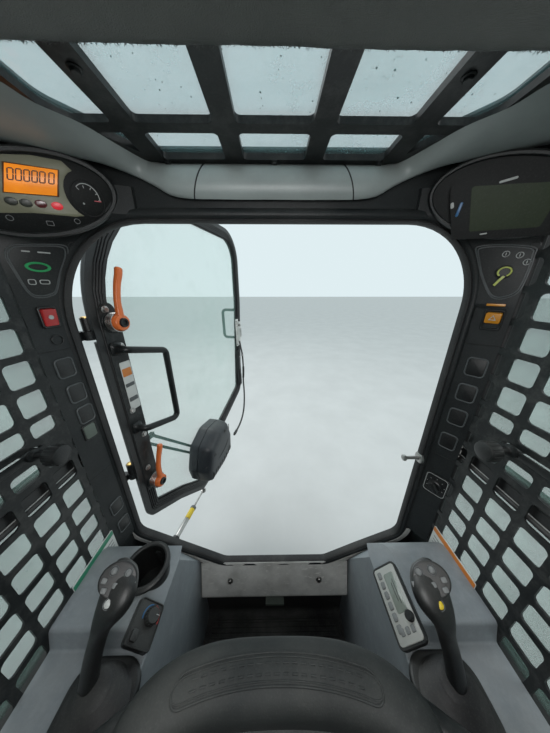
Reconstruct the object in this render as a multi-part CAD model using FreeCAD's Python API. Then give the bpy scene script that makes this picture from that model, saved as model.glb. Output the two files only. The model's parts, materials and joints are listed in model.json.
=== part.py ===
# Operator's cab of a skid steer loader: a framed shell with a glass front door, side grilles and seat.
# Millimetres. +Z is up, the machine's front faces -Y and the operator's left hand is at +X.
# The origin is on the underside of the base frame, midway between its side rails.
import FreeCAD
import Part
import math
import os

Vec = FreeCAD.Vector
LEFT, RIGHT = 1, -1
SIDES = (("left", LEFT), ("right", RIGHT))

# Shell
cab_half_width = 490.0
frame_tube = 50.0
front_y = -550.0
rear_y = 520.0
roof_z = 1430.0
rear_lean = 80.0
lean_start_z = 700.0
base_rail = 60.0
post_width = 60.0
mid_rail_z = 450.0
panel_sheet = 12.0
thin_sheet = 5.0
roof_rail = 60.0
roof_sheet = 8.0
front_post = 30.0
inner_x = cab_half_width - frame_tube
roof_under_z = roof_z - roof_sheet
front_inner_y = front_y + panel_sheet
window_low_z = mid_rail_z + base_rail
rear_inner_y = rear_y - panel_sheet

# Base frame mounting and tilt pivot
bolt_radius = 9.0
bolt_inset = 30.0
pivot_radius = 15.0
pivot_lug_sheet = 20.0
pivot_height = 130.0
pivot_reach = 45.0

# Side grille
grille_pitch = 56.0
grille_bar = 12.0
grille_first_y = -468.0
grille_bar_z = 940.0
grille_wide_bar = 40.0
grille_sheet = 4.0
grille_corner = 9.0
slot_start_y = -420.0
slot_end_y = -200.0
slot_height = 18.0

# Side windows
window_offset = 12.0
window_depth = 28.0
window_band = 26.0
pane = 5.0
divider_z = 856.0
divider_height = 40.0

# Roof window
roof_bar_pitch = 125.0
roof_bar = 28.0
roof_pane_half = 265.0
roof_pane_front_y = -526.0
roof_pane_rear_y = -300.0
roof_cross_y = -458.0
roof_cross_bar = 18.0
roof_corner_x = 187.0
roof_corner_y = -430.0
roof_grid_depth = 8.0
roof_grid_rim = 25.0
headliner_front_y = -324.0
headliner_depth = 30.0
header_wing = 16.0
header_face_y = -524.0
wing_rear_y = -385.0
whole_pane_volume = 30000.0

# Door opening
opening_margin = 93.0
opening_hinge_margin = 65.0
opening_half = cab_half_width - opening_margin
opening_hinge_half = cab_half_width - opening_hinge_margin
opening_top_z = 1337.5
opening_corner = 150.0
opening_hinge_corner = 190.0
sill_z = 351.0
sill_half = 170.0
sill_mid_x = 276.0
sill_mid_z = 418.0
sill_side_z = window_low_z - 20.0
sill_hinge_z = window_low_z
seal_width = 11.0
seal_depth = 8.0
sill_drop = 109.0
sill_run = 38.0
apron_half = 248.0

# Door
door_gap = 6.0
door_band = 42.0
door_depth = 20.0
door_rounding = 12.0
door_hinge_t = 12.0
door_open_angle = 75.5
door_top_z = 1495.0
door_hinge_corner = 340.0
door_free_corner = 140.0
door_low_z = 320.0
door_pivot_offset = 23.5
door_edge_past_pivot = 18.0
glass_inset = 11.0
hinge_pin_radius = 6.0
hinge_pin_clearance = 0.3
knuckle_radius = 11.0
knuckle_height = 30.0
bracket_height = 20.0
upper_hinge_z = 1110.0
lower_hinge_z = 685.0
door_pivot_gap = 3.0
door_pivot_x = opening_hinge_half + door_pivot_gap
door_face_y = front_y - seal_depth - door_gap
door_pivot_y = door_face_y - door_pivot_offset
door_edge_x = door_pivot_x + door_edge_past_pivot
door_width = door_edge_x + opening_half + seal_width

# Door fittings
lever_t = 56.0
lever_lean = 26.0
lever_length = 114.0
upper_lever_z = 1146.0
lower_lever_z = 643.0
grab_t = 47.0
grab_reach_t = 114.0
grab_high_z = 1081.0
grab_low_z = 849.0
grab_drop = 30.0
grab_standoff = 42.0
lock_low_z = 655.0
lock_high_z = 880.0
lock_t = 785.0
lock_width = 28.0
lock_depth = 14.0
latch_low_z = 905.0
latch_high_z = 1060.0
latch_depth = 22.0
handle_t = 805.0
handle_low_z = 950.0
handle_high_z = 1110.0
handle_reach = 70.0
cable_radius = 4.5
cable_route = (
    # distance from the hinge edge, distance off the door's inner face, height
    (786, 13, 935),
    (785, 18, 900),
    (781, 28, 862),
    (779, 31, 810),
    (779, 31, 745),
    (775, 27, 688),
    (756, 38, 634),
    (700, 60, 592),
    (630, 82, 560),
    (555, 96, 542),
    (490, 102, 538),
    (443, 104, 538),
)

# Door stay
stay_anchor_inset = 29.1
stay_anchor_x = opening_hinge_half - stay_anchor_inset
stay_anchor_y = -605.75
stay_level_z = 300.0
stay_door_t = 297.0
stay_pin_gap = 1.5
stay_eye_half = 6.0
stay_tube_radius = 9.0
stay_rod_radius = 4.0
stay_eye_radius = 11.0
striker_z = 791.0
striker_length = 46.0

# Wiper
wiper_t = 309.0
wiper_z = 508.0
wiper_reach_t = 229.0
wiper_reach_z = 254.0
wiper_link_step = 36.0
wiper_blade_low = 140.0
wiper_blade_high = 216.0
wiper_gap = 12.0
cover_low_t = 200.0
cover_high_t = 424.0
cover_low_z = 462.0
cover_high_z = 664.0
cover_start = 20.0
cover_depth = 100.0

# Consoles
seat_half = 232.0
seat_gap = 18.0
console_inner_x = seat_half + seat_gap
console_front_z = 440.0
console_foot_z = 355.0
trim_low_z = 530.0
console_top_z = 600.0
console_rear_z = 560.0
console_rear_y = 150.0
console_chamfer = 42.0
corner_outer_x = 350.0
corner_rear_y = -440.0
cup_x = 305.0
cup_y = -406.0
cup_radius = 40.0
cup_wall = 5.0
cup_depth = 80.0

# Controls
stick_foot = (303.0, -232.0)
stick_head = (270.0, -307.0, 745.0)
stick_radius = 16.0
boot_radius = 54.0
boot_height = 46.0
grip_width = 66.0
grip_depth = 46.0
grip_height = 84.0
pod_centre = (350.0, -480.0, 1350.0)
pod_half_width = 103.0
pod_half_height = 52.0
pod_roll = 15.0
pod_yaw = 33.0
pod_tilt = -14.0
pod_depth = 60.0
trim_top_z = 1296.0
trim_hinge_width = 72.0

# Floor and seat
floor_sheet = 8.0
riser_y = -200.0
deck_z = 400.0
seat_foot_half = seat_half - 42.0
seat_column_half = seat_half - 62.0
seat_pan_half = seat_half - 32.0
cushion_front_y = -290.0
cushion_rear_y = 200.0
cushion_low_z = 482.0
cushion_high_z = 570.0
back_high_z = 1120.0
back_depth = 95.0
back_lean = 60.0

# Lap bar
lap_pivot_y = 150.0
lap_pivot_z = 900.0
lap_tube_radius = 14.0
lap_pad_z = 745.0
lap_pad_depth = 60.0
lap_boss_radius = 26.0
lap_boss_length = 34.0
lap_plate = 6.0
lap_pin_radius = 11.0
lap_pin_clearance = 0.05


def box(x0, x1, y0, y1, z0, z1):
    """A block between two corners, given in any order."""
    low = Vec(min(x0, x1), min(y0, y1), min(z0, z1))
    return Part.makeBox(abs(x1 - x0), abs(y1 - y0), abs(z1 - z0), low)


def cylinder(start, end, radius):
    """A round bar from one point to another."""
    start, end = Vec(*start), Vec(*end)
    return Part.makeCylinder(radius, (end - start).Length, start, end - start)


def on_plane(plane, u, v, offset):
    """A point of a front (x, z), side (y, z) or plan (x, y) outline."""
    if plane == "front":
        return Vec(u, offset, v)
    if plane == "side":
        return Vec(offset, u, v)
    return Vec(u, v, offset)


def outline(corners, plane, offset):
    """A closed wire through (u, v, radius) corners, each rounded by its radius."""
    points = [on_plane(plane, u, v, offset) for u, v, _ in corners]
    edges, starts, ends = [], [], []
    for i, (_, _, radius) in enumerate(corners):
        here, before, after = points[i], points[i - 1], points[(i + 1) % len(points)]
        back, ahead = (before - here).normalize(), (after - here).normalize()
        if radius <= 0:
            starts.append(here)
            ends.append(here)
            edges.append(None)
            continue
        half = back.getAngle(ahead) / 2
        reach = radius / math.tan(half)
        middle = here + (back + ahead).normalize() * (radius / math.sin(half) - radius)
        starts.append(here + back * reach)
        ends.append(here + ahead * reach)
        edges.append(Part.Arc(starts[-1], middle, ends[-1]).toShape())
    wire = []
    for i, arc in enumerate(edges):
        if arc is not None:
            wire.append(arc)
        follow = starts[(i + 1) % len(starts)]
        if (follow - ends[i]).Length > 1e-6:
            wire.append(Part.LineSegment(ends[i], follow).toShape())
    return Part.Wire(wire)


def slab(plane, corners, start, depth, holes=()):
    """A plate with a rounded outline and holes, from start along the plane's normal."""
    normal = on_plane(plane, 0, 0, 1)
    face = Part.Face(outline(corners, plane, start))
    plate = face.extrude(normal * depth)
    for hole in holes:
        cut = Part.Face(outline(hole, plane, start - 1)).extrude(normal * (depth + 2))
        plate = plate.cut(cut)
    return plate


def pierced_plate(plane, corners, start, depth, holes):
    """A plate whose many separate holes are wires of its one face."""
    wires = [outline(corners, plane, start)] + [outline(hole, plane, start) for hole in holes]
    face = Part.Face(wires[0])
    if len(wires) > 1:
        face = Part.makeFace(wires, "Part::FaceMakerBullseye")
    return face.extrude(on_plane(plane, 0, 0, 1) * depth)


def rectangle(u0, u1, v0, v1, radius=0.0):
    return [(u0, v0, radius), (u1, v0, radius), (u1, v1, radius), (u0, v1, radius)]


def mirrored(corners, side):
    """Corners given for the operator's left, in the order that suits the asked side."""
    flipped = [(side * u, v, r) for u, v, r in corners]
    return flipped if side == LEFT else flipped[::-1]


def both_sides(left):
    """A closed outline from its left half, completed by its mirror image across x = 0."""
    return left + mirrored(left, RIGHT)


def tube(points, radius, bend):
    """A round tube along straight runs joined by bends of one radius."""
    points = [Vec(*p) for p in points]
    edges, last = [], points[0]
    for i in range(1, len(points) - 1):
        back = (points[i - 1] - points[i]).normalize()
        ahead = (points[i + 1] - points[i]).normalize()
        half = back.getAngle(ahead) / 2
        reach = bend / math.tan(half)
        middle = points[i] + (back + ahead).normalize() * (bend / math.sin(half) - bend)
        start, end = points[i] + back * reach, points[i] + ahead * reach
        edges.append(Part.LineSegment(last, start).toShape())
        edges.append(Part.Arc(start, middle, end).toShape())
        last = end
    edges.append(Part.LineSegment(last, points[-1]).toShape())
    path = Part.Wire(edges)
    ring = Part.Wire(Part.makeCircle(radius, points[0], points[1] - points[0]))
    return path.makePipeShell([ring], True, True)


def fuse(shapes):
    whole = shapes[0].multiFuse(shapes[1:])
    return whole.removeSplitter()


def compound(shapes):
    return Part.makeCompound(shapes)


# Shell of the cab


def rear_outer_y(z):
    """The rear face's y: upright below, leaning forwards above."""
    if z <= lean_start_z:
        return rear_y
    return rear_y - rear_lean * (z - lean_start_z) / (roof_z - lean_start_z)


def side_window_corners(inset=0.0):
    """The side window's outline in y and z, between posts, mid rail and roof rail."""
    top = roof_z - roof_rail
    rear_low = rear_y - post_width
    rear_top = rear_outer_y(top) - post_width
    low, front = window_low_z + inset, front_y + front_post + inset
    return [
        (front, low, 30),
        (rear_low - inset, low, 30),
        (rear_low - inset, lean_start_z, 60),
        (rear_top - inset, top - inset, 40),
        (front, top - inset, 40),
    ]


def base_frame():
    x, rail = cab_half_width, base_rail
    parts = [box(side * x, side * (x - rail), front_y, rear_y, 0, rail) for _, side in SIDES]
    for y0, y1 in ((front_y, front_y + rail), (-rail / 2, rail / 2), (rear_y - rail, rear_y)):
        parts.append(box(-x + rail, x - rail, y0, y1, 0, rail))
    frame = fuse(parts)
    for side in (LEFT, RIGHT):
        for y in (front_y + bolt_inset, rear_y - bolt_inset):
            at = side * (x - bolt_inset)
            frame = frame.cut(cylinder((at, y, -1), (at, y, rail + 1), bolt_radius))
    return frame


def pivot_lugs():
    """Two lugs behind the base frame, whose bores take the pins that the cab tilts on."""
    lugs = []
    for _, side in SIDES:
        outer = side * (cab_half_width - 10)
        start = min(outer, outer - side * pivot_lug_sheet)
        corners = [
            (rear_y, 20, 0),
            (rear_y + 30, 20, 10),
            (rear_y + pivot_reach + 28, pivot_height - 20, 20),
            (rear_y + pivot_reach + 28, pivot_height + 30, 27),
            (rear_y, pivot_height + 30, 0),
        ]
        lug = slab("side", corners, start, pivot_lug_sheet)
        centre_y = rear_y + pivot_reach
        bore = cylinder((start - 1, centre_y, pivot_height),
                        (start + pivot_lug_sheet + 1, centre_y, pivot_height), pivot_radius)
        lugs.append(lug.cut(bore))
    return compound(lugs)


def side_frame(side):
    """Front post, rear post, roof rail and lower rails of one side, as one bent frame."""
    outer = [
        (front_y, base_rail, 0),
        (rear_y, base_rail, 0),
        (rear_y, lean_start_z, 90),
        (rear_outer_y(roof_z), roof_z, 70),
        (front_y, roof_z, 45),
    ]
    low = rectangle(front_y + post_width, rear_y - post_width, 2 * base_rail, mid_rail_z, 30)
    start = inner_x if side == LEFT else -cab_half_width
    return slab("side", outer, start, frame_tube, (low, side_window_corners()))


def side_panels():
    """The sheets that close both sides below the windows."""
    corners = rectangle(front_y + post_width, rear_y - post_width, 2 * base_rail, mid_rail_z, 30)
    near = cab_half_width - 15
    return compound([slab("side", corners, start, thin_sheet) for start in (near - thin_sheet, -near)])


def grille_holes():
    """Square holes on a regular pitch, lower beside the wide bar, and the long slot in it."""
    half = (grille_pitch - grille_bar) / 2
    holes = []
    row_limits = []
    first_hole_y = front_y + front_post + 14
    top = roof_z - roof_rail - 6
    first_row = grille_bar_z + grille_pitch / 2
    rows = range(-12, 13)
    for row in rows:
        middle = first_row + row * grille_pitch
        low, high = middle - half, middle + half
        if row == 0:
            low = grille_bar_z + grille_wide_bar / 2
        if row == -1:
            high = grille_bar_z - grille_wide_bar / 2
        if low > window_low_z + 6 and high < top:
            row_limits.append((low, high))
    for low, high in row_limits:
        rear_edge = rear_outer_y(high) - post_width - 8
        column_y = grille_first_y + grille_bar / 2
        holes.append(rectangle(first_hole_y, column_y - grille_bar, low, high, grille_corner))
        while column_y + 2 * half < rear_edge:
            holes.append(rectangle(column_y, column_y + 2 * half, low, high, grille_corner))
            column_y += grille_pitch
    end = slot_height / 2 - 0.5
    holes.append(rectangle(slot_start_y, slot_end_y, grille_bar_z - slot_height / 2,
                           grille_bar_z + slot_height / 2, end))
    return holes


def side_grille(side):
    start = inner_x if side == LEFT else -inner_x - grille_sheet
    return pierced_plate("side", side_window_corners(), start, grille_sheet, grille_holes())


def side_window_frame(side):
    """The window's black frame with its divider, outboard of the grille."""
    start = inner_x + window_offset if side == LEFT else -inner_x - window_offset - window_depth
    return slab("side", side_window_corners(), start, window_depth, side_pane_corners())


def side_pane_corners():
    """The upper and lower pane's outlines."""
    band = window_band
    upper_low = divider_z + divider_height / 2
    lower_high = divider_z - divider_height / 2
    whole = side_window_corners(band)
    front, rear_low = whole[0][0], whole[1][0]
    top, rear_top = whole[3][1], whole[3][0]
    slope = (rear_low - rear_top) / (top - lean_start_z)
    upper = [
        (front, upper_low, 12),
        (rear_low - slope * (upper_low - lean_start_z), upper_low, 12),
        (rear_top, top, 20),
        (front, top, 20),
    ]
    lower = [
        (front, whole[0][1], 20),
        (rear_low, whole[0][1], 20),
        (rear_low, lean_start_z, 40),
        (rear_low - slope * (lower_high - lean_start_z), lower_high, 12),
        (front, lower_high, 12),
    ]
    return upper, lower


def side_glass(side):
    near = inner_x + window_offset + window_depth / 2
    start = near if side == LEFT else -near - pane
    return compound([slab("side", corners, start, pane) for corners in side_pane_corners()])


def front_opening():
    """The door opening: round upper corners and a sill that dips towards the middle."""
    sill = [(sill_half, sill_z, 40), (sill_mid_x, sill_mid_z, 60)]
    hinge = [(opening_hinge_half, sill_hinge_z, 40),
             (opening_hinge_half, opening_top_z, opening_hinge_corner)]
    free = [(opening_half, sill_side_z, 40), (opening_half, opening_top_z, opening_corner)]
    return sill + hinge + mirrored(sill + free, RIGHT)


def front_panel():
    corners = rectangle(-inner_x, inner_x, base_rail, roof_z)
    return slab("front", corners, front_y, panel_sheet, (front_opening(),))


def door_seal():
    """The rubber seal round the opening, on the front panel's outer face."""
    start = front_y - seal_depth
    inner = outline(front_opening(), "front", start)
    ring = Part.makeFace([inner.makeOffset2D(seal_width), inner], "Part::FaceMakerBullseye")
    return ring.extrude(Vec(0, seal_depth, 0))


def front_sill():
    """The worn apron behind the opening's lower edge, sloping down into the foot well."""
    profile = [
        (front_inner_y, sill_z, 0),
        (front_inner_y + sill_run, sill_z - sill_drop, 0),
        (front_inner_y + sill_run, sill_z - sill_drop - 8, 0),
        (front_inner_y, sill_z - sill_drop - 8, 0),
    ]
    return slab("side", profile, -apron_half, 2 * apron_half)


def foot_well():
    """Floor, front wall and seat riser bent from one sheet."""
    low, sheet = base_rail, floor_sheet
    front = front_inner_y
    profile = [
        (front, low, 0),
        (riser_y, low, 0),
        (riser_y, deck_z, 0),
        (riser_y - sheet, deck_z, 0),
        (riser_y - sheet, low + sheet, 20),
        (front + sheet, low + sheet, 20),
        (front + sheet, sill_z - sill_drop - 8, 0),
        (front, sill_z - sill_drop - 8, 0),
    ]
    return slab("side", profile, -apron_half, 2 * apron_half)


def seat_deck():
    return box(-inner_x, inner_x, riser_y - floor_sheet, rear_inner_y, deck_z, deck_z + floor_sheet)


def rear_wall():
    """The upright lower part of the rear, as one sheet."""
    return box(-inner_x, inner_x, rear_inner_y, rear_y, base_rail, lean_start_z)


def rear_slope(y_inset, depth, half_width, low_z, high_z):
    """A sheet that follows the rear's upper, leaning part."""
    corners = [
        (rear_outer_y(low_z) - y_inset, low_z, 0),
        (rear_outer_y(high_z) - y_inset, high_z, 0),
        (rear_outer_y(high_z) - y_inset - depth, high_z, 0),
        (rear_outer_y(low_z) - y_inset - depth, low_z, 0),
    ]
    return slab("side", corners[::-1], -half_width, 2 * half_width)


def rear_window_frame():
    whole = rear_slope(0, panel_sheet + 8, inner_x, lean_start_z, roof_under_z)
    glass = rear_slope(-20, 80, inner_x - 60, lean_start_z + 60, roof_under_z - 60)
    return whole.cut(glass)


def rear_glass():
    return rear_slope(8, pane, inner_x - 60, lean_start_z + 60, roof_under_z - 60)


def roof_window(grow=0.0):
    """The roof window's outline in plan, with its front corners cut off."""
    x, front, rear = roof_pane_half + grow, roof_pane_front_y - grow, roof_pane_rear_y + grow
    cut = roof_corner_x + grow * 0.6
    return [
        (x, rear, 12),
        (x, roof_corner_y, 40),
        (cut, front, 40),
        (-cut, front, 40),
        (-x, roof_corner_y, 40),
        (-x, rear, 12),
    ]


def roof_panel():
    corners = rectangle(-inner_x, inner_x, front_inner_y, rear_outer_y(roof_z))
    return slab("plan", corners, roof_under_z, roof_sheet, (roof_window(8),))


def roof_grid():
    """The bar grid under the roof glass, cut from one plate."""
    window = Part.Face(outline(roof_window(), "plan", roof_under_z - roof_grid_depth - 1))
    window = window.extrude(Vec(0, 0, roof_grid_depth + 2))
    low, high = roof_under_z - roof_grid_depth - 2, roof_under_z + 2
    for place in (-1.5, -0.5, 0.5, 1.5):
        x = place * roof_bar_pitch
        window = window.cut(box(x - roof_bar / 2, x + roof_bar / 2, -2000, 2000, low, high))
    half = roof_cross_bar / 2
    window = window.cut(box(-500, 500, roof_cross_y - half, roof_cross_y + half, low, high))
    panes = []
    for piece in window.Solids:
        upright = [e for e in piece.Edges if abs(e.tangentAt(e.FirstParameter).z) > 0.99]
        panes.append(piece.makeFillet(7, upright) if piece.Volume > whole_pane_volume else piece)
    rim = rectangle(-roof_pane_half - roof_grid_rim, roof_pane_half + roof_grid_rim,
                    front_inner_y, roof_pane_rear_y + 8, 0)
    plate = slab("plan", rim, roof_under_z - roof_grid_depth, roof_grid_depth)
    return plate.cut(compound(panes))


def roof_glass():
    return slab("plan", roof_window(8), roof_under_z, pane)


def headliner():
    under = roof_under_z - roof_grid_depth
    front = box(-inner_x, inner_x, headliner_front_y, rear_outer_y(roof_z) - 40,
                under - headliner_depth, under)
    above = box(-inner_x, inner_x, roof_pane_rear_y + 8, rear_outer_y(roof_z) - 40, under, roof_under_z)
    lined = fuse([front, above])
    edges = [e for e in lined.Edges if abs(e.CenterOfMass.y - headliner_front_y) < 1
             and abs(e.CenterOfMass.z - (under - headliner_depth)) < 1]
    return lined.makeFillet(12, edges)


def header_moulding():
    """The grey moulding over the door opening, with a flat wing over each pod."""
    top = roof_under_z - roof_grid_depth
    low = opening_top_z + 24.5
    middle = both_sides([
        (inner_x - 140, front_inner_y, 0),
        (inner_x - 150, header_face_y + 9, 20),
        (inner_x - 225, header_face_y, 60),
    ])
    parts = [slab("plan", middle, low, top - low)]
    wing = [
        (inner_x - 2, front_inner_y, 0),
        (inner_x - 2, wing_rear_y, 10),
        (inner_x - 155, wing_rear_y, 10),
        (inner_x - 157, wing_rear_y - 45, 30),
        (inner_x - 235, header_face_y - 2, 20),
        (inner_x - 235, front_inner_y, 0),
    ]
    for _, side in SIDES:
        parts.append(slab("plan", mirrored(wing, side), top - header_wing, header_wing))
    return fuse(parts).cut(gauge_pod(LEFT)).cut(gauge_pod(RIGHT))


# Door


def door_corners():
    """The closed door's outline in x and z, from its hinge edge to its free edge."""
    table = [
        # distance from the hinge edge, height, corner radius
        (door_hinge_t, 522, 45),
        (150, 433, 60),
        (290, door_low_z, 60),
        (440, door_low_z, 60),
        (520, 515, 70),
        (795, 620, 70),
        (door_width, 1150, 400),
        (door_width, door_top_z, door_free_corner),
        (door_hinge_t, door_top_z, door_hinge_corner),
    ]
    return [(door_edge_x - t, z, r) for t, z, r in table]


def swung(shape):
    """A shape of the closed door, turned to where the door stands open."""
    shape = shape.copy()
    shape.rotate(Vec(door_pivot_x, door_pivot_y, 0), Vec(0, 0, 1), door_open_angle)
    return shape


def hinge_levels():
    return (upper_hinge_z, lower_hinge_z)


def hinge_brackets():
    """Two brackets on the front post, each with the pin that a door knuckle sits on."""
    brackets = []
    for z in hinge_levels():
        disc = cylinder((door_pivot_x, door_pivot_y, z),
                        (door_pivot_x, door_pivot_y, z + bracket_height), knuckle_radius + 2)
        inner = opening_hinge_half + seal_width + 1
        arm = box(inner, inner + 16, door_pivot_y, front_y, z, z + bracket_height)
        foot = box(inner, cab_half_width - 8, front_y - 6, front_y, z - 6, z + bracket_height + 6)
        pin = cylinder((door_pivot_x, door_pivot_y, z),
                       (door_pivot_x, door_pivot_y, z + bracket_height + knuckle_height), hinge_pin_radius)
        brackets.append(fuse([disc, arm, foot, pin]))
    return brackets


def door_frame():
    """The door's band with its two knuckles, notched round the hinge brackets."""
    start = door_face_y - door_depth
    band = slab("front", door_corners(), start, door_depth)
    band = band.makeFillet(door_rounding, [e for e in band.Edges if abs(e.BoundBox.YMax - start) < 0.01])
    inner = outline(door_corners(), "front", start - 1).makeOffset2D(-door_band)
    band = band.cut(Part.Face(inner).extrude(Vec(0, door_depth + 2, 0)))
    for z in hinge_levels():
        top = z + bracket_height
        knuckle = cylinder((door_pivot_x, door_pivot_y, top + 1),
                           (door_pivot_x, door_pivot_y, top + knuckle_height), knuckle_radius)
        band = band.fuse(knuckle)
    for z in hinge_levels():
        top = z + bracket_height
        notch = cylinder((door_pivot_x, door_pivot_y, z - 6), (door_pivot_x, door_pivot_y, top + 1),
                         knuckle_radius + 11)
        bore = cylinder((door_pivot_x, door_pivot_y, top),
                        (door_pivot_x, door_pivot_y, top + knuckle_height + 6),
                        hinge_pin_radius + hinge_pin_clearance)
        band = band.cut(notch).cut(bore)
    return swung(band.fuse(door_stay_pin()).removeSplitter())


def door_glass():
    start = door_face_y - glass_inset - pane
    inner = outline(door_corners(), "front", start).makeOffset2D(-door_band)
    return swung(Part.Face(inner).extrude(Vec(0, pane, 0)))


def door_side_plate():
    """The plate on the hinge side that carries the levers and the grab handle."""
    table = [(30, 620, 6), (30, 1180, 6), (58, 1208, 20), (76, 1160, 20), (76, 620, 6)]
    corners = [(door_edge_x - t, z, r) for t, z, r in table]
    return swung(slab("front", corners, door_face_y, 4))


def release_lever(t, z, lean):
    """An orange lever: a round hub on the plate and an arm that rises from it."""
    x = door_edge_x - t
    base = door_face_y + 4
    hub = cylinder((x, base, z), (x, base + 34, z), 19)
    tip = (x - lean, base + 26, z + lever_length)
    arm = cylinder((x, base + 24, z), tip, 8.5)
    return hub.fuse(arm).removeSplitter()


def door_levers():
    return swung(compound([release_lever(lever_t, z, lever_lean) for z in (upper_lever_z, lower_lever_z)]))


def door_grab_handle():
    x, base = door_edge_x - grab_t, door_face_y + 4
    bent, out = x - grab_reach_t, base + grab_standoff
    points = [
        (x, base, grab_high_z),
        (x, out - 12, grab_high_z),
        (bent, out, grab_high_z - grab_drop),
        (bent, out, grab_low_z - grab_drop),
        (x, out - 12, grab_low_z),
        (x, base, grab_low_z),
    ]
    return swung(tube(points, 9, 16))


def door_lock_bar():
    """The long flat case on the free edge, inside."""
    x = door_edge_x - lock_t
    bar = box(x, x + lock_width, door_face_y, door_face_y + lock_depth, lock_low_z, lock_high_z)
    return swung(bar.makeFillet(4, [e for e in bar.Edges if abs(e.BoundBox.YMin - door_face_y) > 1]))


def door_latch():
    """The latch above it: a base plate, a case and the bolt's pivot."""
    x = door_edge_x - lock_t - 16
    plate = box(x, x + 30, door_face_y, door_face_y + 4, latch_low_z, latch_high_z)
    case = box(x + 6, x + 24, door_face_y, door_face_y + latch_depth, latch_low_z + 30, latch_high_z - 40)
    pivot = cylinder((x + 15, door_face_y, latch_high_z - 20),
                     (x + 15, door_face_y + latch_depth, latch_high_z - 20), 8)
    return swung(fuse([plate, case, pivot]))


def door_outer_handle():
    """The handle loop outside, on the free edge."""
    x, base = door_edge_x - handle_t, door_face_y - door_depth
    out = base - handle_reach
    points = [
        (x, base, handle_high_z),
        (x, out, handle_high_z),
        (x, out, handle_low_z),
        (x, base, handle_low_z),
    ]
    return swung(tube(points, 8, 20))


def door_cable():
    """The cable from the latch past the lock bar to the wiper motor's cover."""
    points = [Vec(door_edge_x - t, door_face_y + off, z) for t, off, z in cable_route]
    edges, last = [], points[0]
    for i in range(1, len(points) - 1):
        back, ahead = points[i - 1] - points[i], points[i + 1] - points[i]
        reach = 0.45 * min(back.Length, ahead.Length)
        back, ahead = back.normalize(), ahead.normalize()
        half = back.getAngle(ahead) / 2
        bend = reach * math.tan(half)
        middle = points[i] + (back + ahead).normalize() * (bend / math.sin(half) - bend)
        start, end = points[i] + back * reach, points[i] + ahead * reach
        edges.append(Part.LineSegment(last, start).toShape())
        edges.append(Part.Arc(start, middle, end).toShape())
        last = end
    edges.append(Part.LineSegment(last, points[-1]).toShape())
    path = Part.Wire(edges)
    ring = Part.Wire(Part.makeCircle(cable_radius, points[0], points[1] - points[0]))
    return swung(path.makePipeShell([ring], True, True))


def wiper_motor_cover():
    """The moulded cover of the wiper motor, on two feet inside the glass."""
    near, far = door_edge_x - cover_low_t, door_edge_x - cover_high_t
    low, high = cover_low_z, cover_high_z
    face = door_face_y - glass_inset
    front = face + cover_start + cover_depth
    corners = [
        (far + 10, low + 24, 22),
        (far + 90, low, 26),
        (near - 14, low, 24),
        (near, low + 70, 30),
        (near - 30, high - 40, 36),
        (near - 110, high, 36),
        (far + 24, high - 10, 30),
        (far, high - 90, 30),
    ]
    cover = slab("front", corners, face + cover_start, cover_depth)
    cover = cover.makeChamfer(18, [e for e in cover.Edges if abs(e.BoundBox.YMin - front) < 0.5])
    feet = [cylinder((x, face, z), (x, face + cover_start, z), 12)
            for x, z in ((far + 50, low + 60), (near - 50, low + 60), (near - 110, high - 50))]
    return swung(fuse([cover] + feet))


# Wiper outside the glass


def wiper_spindle(step):
    """The outer face point of a spindle; step 1 is the second link's spindle."""
    return (door_edge_x - wiper_t - step * wiper_link_step, wiper_z)


def wiper_tip(step):
    x, z = wiper_spindle(step)
    return (x + wiper_reach_t, z + wiper_reach_z)


def wiper_link(step):
    """A flat link between a spindle and the blade's carrier."""
    (x0, z0), (x1, z1) = wiper_spindle(step), wiper_tip(step)
    y = door_face_y - door_depth - wiper_gap
    length, angle = math.hypot(x1 - x0, z1 - z0), math.degrees(math.atan2(z1 - z0, x1 - x0))
    bar = box(0, length, -4, 0, -5, 5)
    bar.rotate(Vec(0, 0, 0), Vec(0, -1, 0), angle)
    bar.translate(Vec(x0, y, z0))
    ends = [cylinder((x, y, z), (x, y - 4, z), 10) for x, z in ((x0, z0), (x1, z1))]
    return fuse([bar] + ends)


def wiper_spindles():
    """The two spindles that come through the glass."""
    y = door_face_y - door_depth - wiper_gap
    glass_out = door_face_y - glass_inset - pane
    return swung(compound([cylinder((x, glass_out, z), (x, y + 0.3, z), 8)
                           for x, z in (wiper_spindle(0), wiper_spindle(1))]))


def wiper_blade():
    """The carrier, with the blade on its glass side."""
    (x0, z0), (x1, _) = wiper_tip(0), wiper_tip(1)
    y = door_face_y - door_depth - wiper_gap
    glass_out = door_face_y - glass_inset - pane
    low, high = z0 - wiper_blade_low, z0 + wiper_blade_high
    carrier = box(x0 + 8, x1 - 8, y + 0.5, y + 5, z0 - 8, z0 + 8)
    spine = box(x0 - 4, x0 + 4, y + 0.5, y + 7, low, high)
    rubber = box(x0 - 2, x0 + 2, y + 5, glass_out - 1, low, high)
    return swung(fuse([carrier, spine, rubber]))


# Door stay


def stay_points():
    """The stay's eye on the cab and its eye under the open door."""
    radius = Vec(door_edge_x - stay_door_t - door_pivot_x, door_pivot_offset - door_depth / 2, 0)
    turn = math.radians(door_open_angle)
    x = door_pivot_x + radius.x * math.cos(turn) - radius.y * math.sin(turn)
    y = door_pivot_y + radius.x * math.sin(turn) + radius.y * math.cos(turn)
    return Vec(stay_anchor_x, stay_anchor_y, stay_level_z), Vec(x, y, stay_level_z)


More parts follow.
